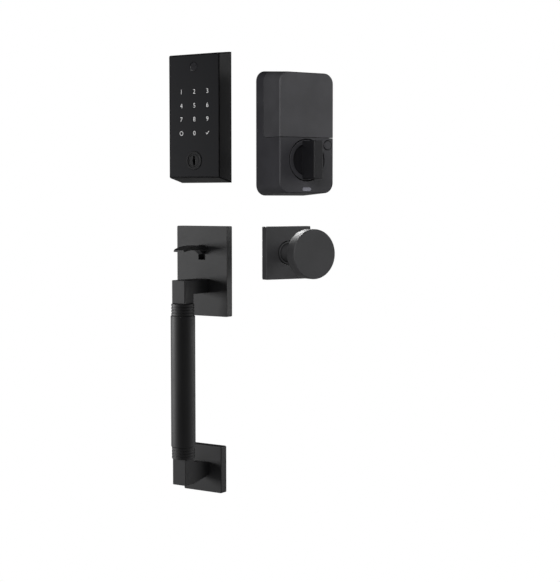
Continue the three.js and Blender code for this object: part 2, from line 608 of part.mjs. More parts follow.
function addTurn() {
  const floorY = -44.4;
  const ringFront = -UNIT_DEPTH;
  const trimProfile = [
    [TURN_DIAL_RADIUS + GAP, UNIT_INNER_FRONT_Y + 1.5],
    [TURN_DISH_RADIUS, UNIT_INNER_FRONT_Y + 1.5],
    [TURN_DISH_RADIUS, ringFront],
    [TURN_DIAL_RADIUS + GAP + TRIM_CHAMFER, ringFront],
    [TURN_DIAL_RADIUS + GAP, ringFront + TRIM_CHAMFER],
    [TURN_DIAL_RADIUS + GAP, UNIT_INNER_FRONT_Y + 1.5],
  ];
  add(inside, "turn_trim_ring", turnedY(trimProfile, 0, BOLT_AXIS_Z, FINE), "mattBlackPlastic");
  add(inside, "turn_dial", rodY(TURN_DIAL_RADIUS, floorY, -39.5, 0, BOLT_AXIS_Z, FINE), "mattBlackPlastic");

  const paddleSize = [2 * PADDLE_HALF_WIDTH, 2 * PADDLE_HALF_HEIGHT];
  const paddleOutline = roundedRectangle(...paddleSize, 1.4, 0, BOLT_AXIS_Z);
  const neckHalf = PADDLE_HALF_WIDTH - 0.4;
  const paddle = join(
    alongY(paddleOutline, PADDLE_FRONT_Y, ringFront - GAP, 3),
    box(-neckHalf, neckHalf, ringFront - 1, floorY - GAP, BOLT_AXIS_Z - 15.6, BOLT_AXIS_Z + 15.6),
  );
  add(inside, "turn_paddle", paddle, "mattBlackPlastic");
}

// ---------- Knob ----------
function addKnob() {
  const half = ROSETTE_HALF;
  const side = 2 * half;
  const pocketFrontY = -ROSETTE_THICKNESS + 1.8;
  const collarRadius = 12.9;
  const collarGap = 1.2;
  const rosette = cut(
    alongY(roundedRectangle(side, side, 1.2, 0, LATCH_AXIS_Z), -ROSETTE_THICKNESS, 0, 3),
    box(-half + 2.5, half - 2.5, pocketFrontY, 1, LATCH_AXIS_Z - half + 2.5, LATCH_AXIS_Z + half - 2.5),
    rodY(collarRadius + collarGap, -ROSETTE_THICKNESS - 1, 1, 0, LATCH_AXIS_Z, FINE),
  );
  add(inside, "knob_rosette", rosette, "satinBlack");
  const collarFrontY = -ROSETTE_THICKNESS - 0.8;
  const collar = ringY(collarRadius, KNOB_NECK_RADIUS + 0.6, collarFrontY, -2.4, 0, LATCH_AXIS_Z, FINE);
  add(inside, "knob_collar", collar, "satinBlack");

  const plate = cut(
    rodY(26.5, -2, 0, 0, LATCH_AXIS_Z, FINE),
    rodY(6.5, -3, 1, 0, LATCH_AXIS_Z),
    ...[-1, 1].map((s) => rodY(2.3, -3, 1, 0, LATCH_AXIS_Z + s * LATCH_SPREAD, SMALL)),
  );
  add(inside, "knob_mount_plate", plate, "steel");
  [-1, 1].forEach((s, i) => {
    const screw = screwY(3.2, -4.3, -2 - GAP, 1.9, 22, 0, LATCH_AXIS_Z + s * LATCH_SPREAD);
    add(inside, `knob_mount_screw_${i + 1}`, screw, "steel");
  });
  const spring = ringY(16.4, 13.6, -4.6, -2.6, 0, LATCH_AXIS_Z);
  add(inside, "knob_return_spring", cut(spring, box(-1.5, 1.5, -6, 0, LATCH_AXIS_Z, 0)), "steel");

  const rimBackY = KNOB_FACE_Y + KNOB_RIM;
  const profile = [
    [0, KNOB_FACE_Y],
    [KNOB_RADIUS - 1.2, KNOB_FACE_Y],
    [KNOB_RADIUS, KNOB_FACE_Y + 1.2],
    [KNOB_RADIUS, rimBackY - 2.5],
    [KNOB_RADIUS - 2.5, rimBackY],
    [18.5, rimBackY + 3],
    [13.2, rimBackY + 8],
    [KNOB_NECK_RADIUS, rimBackY + 15],
    [KNOB_NECK_RADIUS, -2.4],
    [0, -2.4],
  ];
  add(inside, "knob_grip", turnedY(profile, 0, LATCH_AXIS_Z, FINE), "satinBlack");
  const spindle = box(-3.8, 3.8, -2.1, 33, LATCH_AXIS_Z - 3.8, LATCH_AXIS_Z + 3.8);
  add(inside, "knob_spindle", spindle, "steel");
}

// ---------- Handleset ----------
function addHandlePlates() {
  const width = 2 * PLATE_HALF_WIDTH;
  const height = PLATE_TOP - PLATE_BOTTOM;
  const centreZ = (PLATE_TOP + PLATE_BOTTOM) / 2;
  const pocketFrontY = -PLATE_THICKNESS + 2.6;
  const rim = 2.6;
  const studHeights = [LATCH_AXIS_Z - LATCH_SPREAD, LATCH_AXIS_Z + LATCH_SPREAD];
  const pocketHalf = PLATE_HALF_WIDTH - rim;
  const plate = cut(
    alongY(roundedRectangle(width, height, 1.2, 0, centreZ), -PLATE_THICKNESS, 0, 3),
    box(-pocketHalf, pocketHalf, pocketFrontY, 1, PLATE_BOTTOM + rim, PLATE_TOP - rim),
    box(-SLOT_HALF_WIDTH, SLOT_HALF_WIDTH, -PLATE_THICKNESS - 1, 1, SLOT_BOTTOM, SLOT_TOP),
  );
  add(outside, "handle_upper_plate", plate, "satinBlack");

  const linerFrontY = -1.8;
  const linerInset = rim + 0.4;
  const linerHalf = PLATE_HALF_WIDTH - linerInset;
  const ears = [-9, 9].map((x) =>
    box(x - 1, x + 1, THUMB_PIVOT.y - 2.2, linerFrontY + 0.5, THUMB_PIVOT.z - 5, THUMB_PIVOT.z + 5),
  );
  const studs = studHeights.map((z) => rodY(3.2, linerFrontY, 14, 0, z, SMALL));
  const threads = studHeights.map((z) => rodY(2, 3, 15, 0, z, SMALL));
  const linerBottom = PLATE_BOTTOM + linerInset;
  const sheet = box(-linerHalf, linerHalf, linerFrontY, 0, linerBottom, PLATE_TOP - linerInset);
  const liner = cut(
    join(sheet, ...ears, ...studs),
    ...threads,
    box(-4.3, 4.3, linerFrontY - 1, 1, THUMB_PIVOT.z - 3.4, THUMB_PIVOT.z + 3.4),
    rodX(PIN_RADIUS + GAP, 14, THUMB_PIVOT.y, THUMB_PIVOT.z),
  );
  add(outside, "handle_upper_liner", liner, "steel");

  const { halfWidth, top, bottom, thickness } = LOWER_ROSETTE;
  const studZ = (LOWER_ELBOW.plateOuter + LOWER_ELBOW.plateInner) / 2;
  const studRadius = 2.8;
  const rosetteOutline = roundedRectangle(2 * halfWidth, top - bottom, 1.2, 0, (top + bottom) / 2);
  const rosette = cut(
    alongY(rosetteOutline, -thickness, 0, 3),
    rodY(studRadius + GAP, -6.5, 1, 0, studZ, SMALL),
  );
  add(outside, "handle_lower_rosette", rosette, "satinBlack");
  const stud = rodY(studRadius, -6, 24, 0, studZ, SMALL);
  add(outside, "handle_lower_stud", stud, "steel");
}

function addThumbpiece() {
  const { y, z } = THUMB_PIVOT;
  const plateFront = -PLATE_THICKNESS;
  const paddleSide = [
    [plateFront - 3.5, -146.4],
    [plateFront - 18, -146.2],
    [plateFront - 30, -147.3],
    [plateFront - 38, -149.2],
    [THUMB_TIP_Y, -150.9],
    [THUMB_TIP_Y + 0.3, -152.6],
    [plateFront - 36, -151.6],
    [plateFront - 24, -150.8],
    [plateFront - 12, -151.6],
    [plateFront - 3.5, -152.6],
  ];
  const neckSide = [
    [plateFront - 8, -148.4],
    [plateFront - 8, -152],
    [plateFront - 3, -156.4],
    [y - 1, -156.4],
    [y, -148.4],
  ];
  const hubRadius = 4;
  const paddle = join(
    alongX(paddleSide, THUMB_HALF_WIDTH),
    alongX(neckSide, 3.8),
    rodX(hubRadius, 3.8, y, z),
  );
  add(outside, "thumbpiece", cut(paddle, rodX(PIN_RADIUS + GAP, 6, y, z)), "satinBlack");
  const leverSide = [
    [-0.3, -154],
    [-0.3, -150.6],
    [16, -152],
    [16, -153.8],
  ];
  add(outside, "thumb_lift_lever", alongX(leverSide, 3), "steel");
  add(outside, "thumb_pivot_pin", rodX(PIN_RADIUS, 11.5, y, z), "steel");
  const spring = turned(ringProfile(2.4, 1.8, -1.6, 1.6), PLAIN).rotateZ(-Math.PI / 2).translate(6, y, z);
  add(outside, "thumb_return_spring", spring, "steel");
}

// An elbow is an upright block on the grip's axis, with an arm from its outer end back to the plate.
function elbowSide({ outer, inner, armInner, plateOuter, plateInner }, plateThickness) {
  const frontY = GRIP_AXIS_Y - ELBOW_HALF_DEPTH;
  const backY = GRIP_AXIS_Y + ELBOW_HALF_DEPTH;
  const armBackY = -plateThickness - GAP;
  return [
    [frontY, outer],
    [backY, outer],
    [armBackY, plateOuter],
    [armBackY, plateInner],
    [backY, armInner],
    [backY, inner],
    [frontY, inner],
  ];
}

// A ferrule's grooves are evenly spread and read as rings.
function ferruleProfile(low, high) {
  const boreRadius = GRIP_ROD_RADIUS + 2 * GAP;
  const pitch = (high - low) / (FERRULE_GROOVES + 1);
  const grooveFloor = FERRULE_RADIUS - GROOVE_DEPTH;
  const profile = [[boreRadius, low], [FERRULE_RADIUS, low]];
  for (let i = 1; i <= FERRULE_GROOVES; i += 1) {
    const z = low + pitch * i;
    profile.push([FERRULE_RADIUS, z - GROOVE_HALF_WIDTH], [grooveFloor, z - GROOVE_HALF_WIDTH]);
    profile.push([grooveFloor, z + GROOVE_HALF_WIDTH], [FERRULE_RADIUS, z + GROOVE_HALF_WIDTH]);
  }
  profile.push([FERRULE_RADIUS, high], [boreRadius, high], [boreRadius, low]);
  return profile;
}

function addGrip() {
  const rodTop = UPPER_ELBOW.inner + 12;
  const rodBottom = LOWER_ELBOW.inner - 12;
  const bore = (low, high) => turnedZ(rodProfile(GRIP_ROD_RADIUS + GAP, low, high), 0, GRIP_AXIS_Y, SMALL);
  const upper = alongX(elbowSide(UPPER_ELBOW, PLATE_THICKNESS), ELBOW_HALF_WIDTH);
  const upperBore = bore(UPPER_ELBOW.inner - 1, rodTop + GAP);
  add(outside, "handle_upper_elbow", cut(upper, upperBore), "satinBlack");
  const lower = alongX(elbowSide(LOWER_ELBOW, LOWER_ROSETTE.thickness), ELBOW_HALF_WIDTH);
  const lowerBore = bore(rodBottom - GAP, LOWER_ELBOW.inner + 1);
  add(outside, "handle_lower_elbow", cut(lower, lowerBore), "satinBlack");

  const upperFerruleLow = UPPER_ELBOW.inner - FERRULE_LENGTH;
  const lowerFerruleHigh = LOWER_ELBOW.inner + FERRULE_LENGTH;
  const ferrule = (low, high) => turnedZ(ferruleProfile(low, high), 0, GRIP_AXIS_Y, FINE);
  add(outside, "handle_upper_ferrule", ferrule(upperFerruleLow, UPPER_ELBOW.inner - GAP), "satinBlack");
  add(outside, "handle_lower_ferrule", ferrule(LOWER_ELBOW.inner + GAP, lowerFerruleHigh), "satinBlack");

  const low = lowerFerruleHigh + GAP;
  const high = upperFerruleLow - GAP;
  const chamfer = 0.8;
  const tubeBore = GRIP_RADIUS - 3;
  const gripProfile = [
    [tubeBore, low],
    [GRIP_RADIUS - chamfer, low],
    [GRIP_RADIUS, low + chamfer],
    [GRIP_RADIUS, high - chamfer],
    [GRIP_RADIUS - chamfer, high],
    [tubeBore, high],
    [tubeBore, low],
  ];
  add(outside, "handle_grip", turnedZ(gripProfile, 0, GRIP_AXIS_Y, FINE), "satinBlack");
  const gripRod = turnedZ(rodProfile(GRIP_ROD_RADIUS, rodBottom, rodTop), 0, GRIP_AXIS_Y, SMALL);
  add(outside, "handle_grip_rod", gripRod, "steel");
}

addKeypadCase();
addKeypadBack();
addKeypadElectronics();
addKeyCylinder();
addUnitCase();
addUnitFrame();
addBatteries();
addDrive();
addTurn();
addKnob();
addHandlePlates();
addThumbpiece();
addGrip();

export default lock;
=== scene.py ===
"""Looks of the keypad smart lock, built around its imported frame.

The set is four assemblies: keypad unit and pull handle (the outside pair), motor unit and knob (the
inside pair).
Each assembly is drawn with its door plane at y = 0 and its front towards -Y, in the axes of its own pair.
"""

import json
import math

import bmesh
import bpy
from mathutils import Matrix, Vector


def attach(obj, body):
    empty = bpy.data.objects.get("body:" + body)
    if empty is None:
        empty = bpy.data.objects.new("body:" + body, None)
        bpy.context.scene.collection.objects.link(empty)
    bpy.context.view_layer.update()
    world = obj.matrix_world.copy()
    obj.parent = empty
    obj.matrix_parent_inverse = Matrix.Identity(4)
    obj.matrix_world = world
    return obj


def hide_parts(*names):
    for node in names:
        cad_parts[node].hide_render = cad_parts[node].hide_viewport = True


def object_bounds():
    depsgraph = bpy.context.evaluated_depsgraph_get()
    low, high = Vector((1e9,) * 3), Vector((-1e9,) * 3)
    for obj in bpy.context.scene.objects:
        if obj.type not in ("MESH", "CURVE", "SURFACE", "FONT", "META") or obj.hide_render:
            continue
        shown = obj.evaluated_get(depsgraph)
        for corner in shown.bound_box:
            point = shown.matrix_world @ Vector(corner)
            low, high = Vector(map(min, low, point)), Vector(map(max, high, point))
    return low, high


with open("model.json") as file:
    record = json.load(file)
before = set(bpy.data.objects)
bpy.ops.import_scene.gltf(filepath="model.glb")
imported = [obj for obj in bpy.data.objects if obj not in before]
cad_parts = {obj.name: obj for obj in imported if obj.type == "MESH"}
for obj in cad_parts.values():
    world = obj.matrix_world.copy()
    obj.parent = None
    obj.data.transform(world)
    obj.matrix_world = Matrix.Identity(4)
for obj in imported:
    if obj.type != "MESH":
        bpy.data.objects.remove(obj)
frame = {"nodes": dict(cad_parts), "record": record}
cad_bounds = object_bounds()

NODES = frame["nodes"]
RECORD = frame["record"]
BODY_OF = {node: body for body, members in RECORD["behaviour"]["bodies"].items() for node in members}
MM = 0.001
GAP = 0.3 * MM  # clearance between separate pieces, as in the frame


# ---------- Camera, light and floor ----------
CAMERA_AZIMUTH = math.radians(34)
CAMERA_DISTANCE = 1.65
CAMERA_ASIDE = 0.0849  # how far the line of sight passes the origin, to its right
CAMERA_HEIGHT = -0.094
CAMERA_PITCH = math.radians(3.67)
CAMERA_LENS = 87.8
CAMERA_SENSOR = 36
FLOOR_DROP = 0.07  # from the lowest point of the set to the floor
FLOOR_SIZE = 14.0
FLOOR_GLOW = 0.24  # light that the floor sends up onto the set
WHITE = (1, 1, 1, 1)
PAPER = (0.8, 0.8, 0.8, 1)

# Each pair is lit as its own studio shot, and the knob has two more lights behind it.
# Group of pieces, name, place, width, height, power in watts. They all face the middle of the set.
SOFTBOXES = (
    ("outside", "outside_key", (-1.7, -0.85, -0.12), 0.9, 0.65, 25),
    ("outside", "outside_rim", (0.6, 1.5, 0.0), 0.9, 0.9, 4.5),
    ("outside", "outside_side", (1.2, 1.0, 0.0), 0.9, 0.9, 4.4),
    ("outside", "outside_top", (-0.5, -0.5, 1.4), 0.9, 0.9, 5),
    ("inside", "inside_key", (0.9, -1.7, 0.7), 1.2, 1.0, 28),
    ("inside", "inside_fill", (-0.6, -1.8, 0.2), 1.2, 1.3, 9.5),
    ("inside", "inside_rim", (1.2, 1.0, 0.2), 0.9, 1.4, 10),
    ("inside", "inside_gloss", (1.7, 0.4, 0.1), 0.9, 0.9, 0.7),
    ("knob", "knob_high", (-1.0, 0.9, 0.75), 0.6, 0.6, 30),
    ("knob", "knob_low", (-1.0, 0.95, -0.32), 0.6, 0.3, 20),
)
LIT = {group: bpy.data.collections.new(group + "_lit") for group in ("outside", "inside", "knob")}
PAIRS_APART_AT = 45 * MM  # the outside pair is left of this x, and the inside pair right of it
KNOB_BELOW = -110 * MM  # of the inside pair, only the knob's pieces are wholly under this z


def add_camera():
    camera = bpy.data.objects.new("camera", bpy.data.cameras.new("camera"))
    bpy.context.scene.collection.objects.link(camera)
    right = Vector((math.cos(CAMERA_AZIMUTH), math.sin(CAMERA_AZIMUTH), 0))
    forward = Vector((-math.sin(CAMERA_AZIMUTH), math.cos(CAMERA_AZIMUTH), 0))
    camera.location = CAMERA_ASIDE * right - CAMERA_DISTANCE * forward + Vector((0, 0, CAMERA_HEIGHT))
    camera.rotation_euler = (math.pi / 2 - CAMERA_PITCH, 0, CAMERA_AZIMUTH)
    camera.data.lens = CAMERA_LENS
    camera.data.sensor_width = CAMERA_SENSOR
    bpy.context.scene.camera = camera


def add_softbox(group, name, place, target, width, height, power):
    light = bpy.data.lights.new(name, "AREA")
    light.shape = "RECTANGLE"
    light.size = width
    light.size_y = height
    light.energy = power
    box = bpy.data.objects.new(name, light)
    bpy.context.scene.collection.objects.link(box)
    box.light_linking.receiver_collection = LIT[group]
    box.location = place
    box.rotation_euler = (Vector(target) - Vector(place)).to_track_quat("-Z", "Y").to_euler()


def seen_and_lit(material_nodes, links, lit, output):
    """Plain white to the camera, and the lit shader's own light to everything else."""
    is_sky = lit.bl_idname == "ShaderNodeBackground"
    seen = material_nodes.new("ShaderNodeBackground" if is_sky else "ShaderNodeEmission")
    seen.inputs["Color"].default_value = WHITE
    seen.inputs["Strength"].default_value = 1.0
    path = material_nodes.new("ShaderNodeLightPath")
    mix = material_nodes.new("ShaderNodeMixShader")
    links.new(path.outputs["Is Camera Ray"], mix.inputs["Fac"])
    links.new(lit.outputs[0], mix.inputs[1])
    links.new(seen.outputs[0], mix.inputs[2])
    links.new(mix.outputs["Shader"], output.inputs["Surface"])


def add_studio():
    """Soft boxes round the set, a white sky behind it and a white floor under it."""
    centre = (cad_bounds[0] + cad_bounds[1]) / 2
    for group, name, place, width, height, power in SOFTBOXES:
        add_softbox(group, name, place, centre, width, height, power)

    world = bpy.data.worlds.new("studio")
    world.use_nodes = True
    bpy.context.scene.world = world
    nodes = world.node_tree.nodes
    lit = nodes["Background"]
    lit.inputs["Strength"].default_value = 0.0  # the soft boxes and the floor give all the light
    seen_and_lit(nodes, world.node_tree.links, lit, nodes["World Output"])

    bpy.ops.mesh.primitive_plane_add(size=FLOOR_SIZE, location=(0, 0, cad_bounds[0].z - FLOOR_DROP))
    floor = bpy.context.object
    floor.name = "floor"
    paper = bpy.data.materials.new("white_floor")
    paper.use_nodes = True
    nodes = paper.node_tree.nodes
    shader = nodes["Principled BSDF"]
    shader.inputs["Base Color"].default_value = PAPER
    shader.inputs["Roughness"].default_value = 1.0
    shader.inputs["Emission Color"].default_value = WHITE
    shader.inputs["Emission Strength"].default_value = FLOOR_GLOW
    seen_and_lit(nodes, paper.node_tree.links, shader, nodes["Material Output"])
    floor.data.materials.append(paper)
    bpy.context.scene.view_settings.view_transform = "Standard"


# ---------- Materials ----------
BROAD_SCALE = 38  # of the noise that the colour wanders by
SCUFF_SCALE = 420
EDGE_WEAR_AND_HIGHLIGHT_WIDTH = 0.9 * MM  # how far the edge lightening, abrasion plus a painted highlight, reaches in from an edge
COAT_ROUGHNESS = 0.12


def surface(
    name, colour, roughness, metallic=0.0, specular=0.5, grain=0.35, depth=0.02,
    roughness_spread=0.06, mottle=0.12, wear_and_highlight=0.35, coat=0.0, painted_glow=0.0,
):
    """A procedural finish. grain is the size of its fine texture and depth its height, in millimetres.

    The edge lightening setting says how far edges lighten, partly as abrasion and partly as a painted
    highlight along them, and mottle how far the colour wanders over some centimetres.
    """
    material = bpy.data.materials.new(name)
    material.use_nodes = True
    nodes, links = material.node_tree.nodes, material.node_tree.links
    shader = nodes["Principled BSDF"]
    shader.inputs["Metallic"].default_value = metallic
    shader.inputs["Specular IOR Level"].default_value = specular
    shader.inputs["Coat Weight"].default_value = coat
    shader.inputs["Coat Roughness"].default_value = COAT_ROUGHNESS
    coordinates = nodes.new("ShaderNodeTexCoord")

    def noise(scale, detail):
        texture = nodes.new("ShaderNodeTexNoise")
        texture.inputs["Scale"].default_value = scale
        texture.inputs["Detail"].default_value = detail
        links.new(coordinates.outputs["Object"], texture.inputs["Vector"])
        return texture.outputs["Fac"]

    def spread(source, low, high, source_low=0.3, source_high=0.7):
        node = nodes.new("ShaderNodeMapRange")
        node.inputs["From Min"].default_value = source_low
        node.inputs["From Max"].default_value = source_high
        node.inputs["To Min"].default_value = low
        node.inputs["To Max"].default_value = high
        links.new(source, node.inputs["Value"])
        return node.outputs["Result"]

    def mixed(factor, first, second):
        node = nodes.new("ShaderNodeMix")
        node.data_type = "RGBA"
        links.new(factor, node.inputs["Factor"])
        for value, socket in ((first, node.inputs[6]), (second, node.inputs[7])):
            if isinstance(value, tuple):
                socket.default_value = (*value, 1)
            else:
                links.new(value, socket)
        return node.outputs[2]

    fine = noise(1 / (grain * MM), 3)
    broad = noise(BROAD_SCALE, 2)
    scuffs = noise(SCUFF_SCALE, 6)

    bump = nodes.new("ShaderNodeBump")
    bump.inputs["Distance"].default_value = depth * MM
    bump.inputs["Strength"].default_value = 1.0
    links.new(fine, bump.inputs["Height"])
    links.new(bump.outputs["Normal"], shader.inputs["Normal"])

    # Edges lighten where the softened normal leaves the true one, broken up by scuffs: partly abrasion,
    # partly a painted highlight along the edges.
    rounded = nodes.new("ShaderNodeBevel")
    rounded.samples = 4
    rounded.inputs["Radius"].default_value = EDGE_WEAR_AND_HIGHLIGHT_WIDTH
    geometry = nodes.new("ShaderNodeNewGeometry")
    agreement = nodes.new("ShaderNodeVectorMath")
    agreement.operation = "DOT_PRODUCT"
    links.new(rounded.outputs["Normal"], agreement.inputs[0])
    links.new(geometry.outputs["Normal"], agreement.inputs[1])
    edge = spread(agreement.outputs["Value"], 1.0, 0.0, 0.86, 0.995)
    rubbed_and_highlit = nodes.new("ShaderNodeMath")
    rubbed_and_highlit.operation = "MULTIPLY"
    links.new(edge, rubbed_and_highlit.inputs[0])
    links.new(spread(scuffs, 0.25 * wear_and_highlight, wear_and_highlight), rubbed_and_highlit.inputs[1])

    darker = tuple(c * (1 - mottle) for c in colour)
    lighter = tuple(min(1.0, c * (1 + mottle)) for c in colour)
    # Colour of the lightened edges: abrasion, and also a painted highlight along them.
    worn_and_highlit = tuple(min(1.0, 0.10 + 1.6 * c) for c in colour)
    base = mixed(spread(broad, 0.0, 1.0), darker, lighter)
    tinted = mixed(rubbed_and_highlit.outputs["Value"], base, worn_and_highlit)
    links.new(tinted, shader.inputs["Base Color"])
    patchy = nodes.new("ShaderNodeMath")
    patchy.operation = "ADD"
    half = roughness_spread / 2
    links.new(spread(broad, roughness - half, roughness + half), patchy.inputs[0])
    links.new(spread(scuffs, -half, half), patchy.inputs[1])
    links.new(patchy.outputs["Value"], shader.inputs["Roughness"])
    # Painted light: the colour also shines as light of its own, though the piece is no lamp.
    if painted_glow > 0:
        shader.inputs["Emission Color"].default_value = (*lighter, 1)
        shader.inputs["Emission Strength"].default_value = painted_glow
    return material


# Each look is a material and the record's slot that it belongs to.
LOOKS = {
    "keypad_paint": (
        surface(
            "keypad_paint", (0.004, 0.004, 0.0055), 0.42,
            specular=0.11, grain=0.3, depth=0.006, wear_and_highlight=0.2,
        ),
        "satin_black_metal",
    ),
    "touch_panel": (
        surface(
            "touch_panel", (0.0085, 0.009, 0.0118), 0.52,
            specular=0.12, grain=0.5, depth=0.002, wear_and_highlight=0.1,
        ),
        "touch_panel",
    ),
    # The white print is given painted light of its own, which makes it brighter than the soft boxes light
    # it.
    "key_print": (
        surface(
            "key_print", (0.9, 0.9, 0.9), 0.5,
            grain=0.2, depth=0.002, wear_and_highlight=0.0, mottle=0.03, painted_glow=0.4,
        ),
        "white_print",
    ),
    "status_lens": (
        surface(
            "status_lens", (0.016, 0.016, 0.02), 0.25,
            grain=0.8, depth=0.002, wear_and_highlight=0.1, coat=0.3,
        ),
        "dark_lens",
    ),
    "handle_paint": (
        surface("handle_paint", (0.034, 0.034, 0.036), 0.55, specular=0.5, grain=0.28, depth=0.008),
        "satin_black_metal",
    ),
    "unit_plastic": (
        surface(
            "unit_plastic", (0.032, 0.0315, 0.036), 0.52,
            specular=0.4, grain=0.42, depth=0.018, wear_and_highlight=0.4,
        ),
        "black_plastic",
    ),
    # The battery cover is drawn in a lighter copy of the housing's black plastic.
    "cover_plastic": (
        surface(
            "cover_plastic", (0.052, 0.0515, 0.056), 0.52,
            specular=0.4, grain=0.42, depth=0.018, wear_and_highlight=0.4,
        ),
        "black_plastic",
    ),
    # A darker copy of the unit's black plastic, used for the dial and the paddle. On the dial this darkness
    # is painted shade for the dish it sits in.
    "shaded_turn_plastic": (
        surface(
            "shaded_turn_plastic", (0.006, 0.006, 0.0075), 0.42,
            specular=0.4, grain=0.4, depth=0.012, wear_and_highlight=0.25,
        ),
        "black_plastic",
    ),
    "window_lens": (
        surface(
            "window_lens", (0.19, 0.19, 0.22), 0.25,
            grain=0.8, depth=0.004, wear_and_highlight=0.0, coat=0.4,
        ),
        "lens",
    ),
    "cylinder_metal": (
        surface(
            "cylinder_metal", (0.006, 0.006, 0.0075), 0.42,
            specular=0.18, grain=0.3, depth=0.006, wear_and_highlight=0.2,
        ),
        "black_steel",
    ),
    "steel": (
        surface(
            "zinc_steel", (0.46, 0.47, 0.48), 0.36,
            metallic=1.0, grain=0.5, depth=0.006, roughness_spread=0.16,
        ),
        "steel",
    ),
    "brass": (
        surface(
            "brass", (0.62, 0.45, 0.18), 0.33,
            metallic=1.0, grain=0.5, depth=0.006, roughness_spread=0.16,
        ),
        "brass",
    ),
    "rubber": (
        surface("rubber", (0.02, 0.02, 0.02), 0.85, specular=0.3, grain=0.7, depth=0.05, wear_and_highlight=0.1),
        "rubber",
    ),
    "board": (
        surface(
            "board", (0.012, 0.09, 0.035), 0.4,
            grain=1.2, depth=0.02, coat=0.3, mottle=0.25, wear_and_highlight=0.1,
        ),
        "board",
    ),
    "inner_plastic": (
        surface(
            "inner_plastic", (0.05, 0.05, 0.053), 0.6,
            specular=0.4, grain=0.5, depth=0.02, wear_and_highlight=0.15,
        ),
        "inner_plastic",
    ),
    "cell_jacket": (
        surface(
            "cell_jacket", (0.012, 0.05, 0.09), 0.3,
            grain=1.5, depth=0.003, coat=0.5, wear_and_highlight=0.1,
        ),
        "cell_jacket",
    ),
    "acetal": (
        surface("acetal", (0.62, 0.6, 0.55), 0.45, grain=0.6, depth=0.01, wear_and_highlight=0.0, mottle=0.05),
        "acetal",
    ),
}


# ---------- Places and measures ----------
SAME_PLACE = 0.02 * MM  # vertices this close along Y are at one depth


def inside_place():
    """Axes of the inside pair, from the mount on its door plane."""
    mount = next(m for m in RECORD["mounts"] if m["name"] == "interior_unit_door_face")
    into_door = Vector(mount["axis"])
    turn = math.atan2(-into_door.x, into_door.y)
    origin = Vector((mount["pos_m"][0], mount["pos_m"][1], 0))
    return Matrix.Translation(origin) @ Matrix.Rotation(turn, 4, "Z")


OUTSIDE = Matrix.Identity(4)
INSIDE = inside_place()


def local_points(node, place):
    to_local = place.inverted()
    return [to_local @ vertex.co for vertex in NODES[node].data.vertices]


def corners(points):
    low = Vector(min(point[axis] for point in points) for axis in range(3))
    high = Vector(max(point[axis] for point in points) for axis in range(3))
    return low, high


def span(node, place=OUTSIDE):
    """Lowest and highest corner of a CAD node, in the axes of its own pair."""
    return corners(local_points(node, place))


def section(node, y, place=OUTSIDE):
    """Lowest and highest corner of a CAD node's vertices at one depth."""
    return corners([point for point in local_points(node, place) if abs(point.y - y) < SAME_PLACE])


def disc(node, place=OUTSIDE):
    """Centre (x, z) and radius of a CAD node that is round about Y."""
    low, high = span(node, place)
    return (low.x + high.x) / 2, (low.z + high.z) / 2, max(high.x - low.x, high.z - low.z) / 2


# ---------- Mesh making ----------
CORNER_STEPS = 8
EDGE_STEPS = 5
TURNED_STEPS = 96
PAST = 5 * MM  # how far a cutting tool runs past what it cuts
LEAST_CORNER = 0.05 * MM  # keeps the corners of an inset section from closing to a point
ROUNDED_SHARE = 0.48  # the most of a side that one rounded corner takes


def new_object(name, mesh):
    obj = bpy.data.objects.new(name, mesh)
    bpy.context.scene.collection.objects.link(obj)
    return obj


def solid(name, rings, cyclic=False):
    """A closed mesh through rings of equal length. Open ends are capped."""
    mesh = bpy.data.meshes.new(name)
    bm = bmesh.new()
    loops = [[bm.verts.new(point) for point in ring] for ring in rings]
    following = loops[1:] + loops[:1] if cyclic else loops[1:]
    for first, second in zip(loops, following):
        count = len(first)
        for i in range(count):
            j = (i + 1) % count
            bm.faces.new((first[i], first[j], second[j], second[i]))
    if not cyclic:
        bm.faces.new(loops[0])
        bm.faces.new(loops[-1])
    bmesh.ops.recalc_face_normals(bm, faces=bm.faces)
    bm.to_mesh(mesh)
    bm.free()
    return new_object(name, mesh)


def rectangle_ring(y, low, high, radius):
    """A rounded rectangle in x and z at one depth; low and high are its corners."""
    centres = (
        (high.x - radius, high.z - radius),
        (low.x + radius, high.z - radius),
        (low.x + radius, low.z + radius),
        (high.x - radius, low.z + radius),
    )
    ring = []
    for quarter, (x, z) in enumerate(centres):
        for step in range(CORNER_STEPS + 1):
            angle = (quarter + step / CORNER_STEPS) * math.pi / 2
            ring.append((x + radius * math.cos(angle), y, z + radius * math.sin(angle)))
    return ring


def block(name, size_at, y_front, y_back, front_edge=0.0, back_edge=0.0):
    """A box along Y whose section is size_at(y) = (low, high, radius), with rounded front and back edges."""
    angles = [math.pi / 2 * i / EDGE_STEPS for i in range(EDGE_STEPS + 1)]

    def edge(y, radius, towards):
        """Stations (depth, inset) of one rounded edge, from its outer face inwards."""
        if radius <= 0:
            return [(y, 0.0)]
        return [
            (y + towards * radius * (1 - math.sin(angle)), radius * (1 - math.cos(angle)))
            for angle in reversed(angles)
        ]

    stations = edge(y_front, front_edge, 1) + list(reversed(edge(y_back, back_edge, -1)))
    rings = []
    for y, inset in stations:
        low, high, radius = size_at(y)
        margin = Vector((inset, 0, inset))
        rings.append(rectangle_ring(y, low + margin, high - margin, max(radius - inset, LEAST_CORNER)))
    return solid(name, rings)


def straight(low, high, radius):
    """size_at for a box with the same section all the way."""
    return lambda y: (low, high, radius)


def tapered(front, y_front, back, y_back, radius, inset=0.0):
    """size_at between the sections at two depths, drawn in all round by inset."""
    margin = Vector((inset, 0, inset))

    def size_at(y):
        share = (y - y_front) / (y_back - y_front)
        low = front[0].lerp(back[0], share) + margin
        high = front[1].lerp(back[1], share) - margin
        return low, high, radius - inset

    return size_at


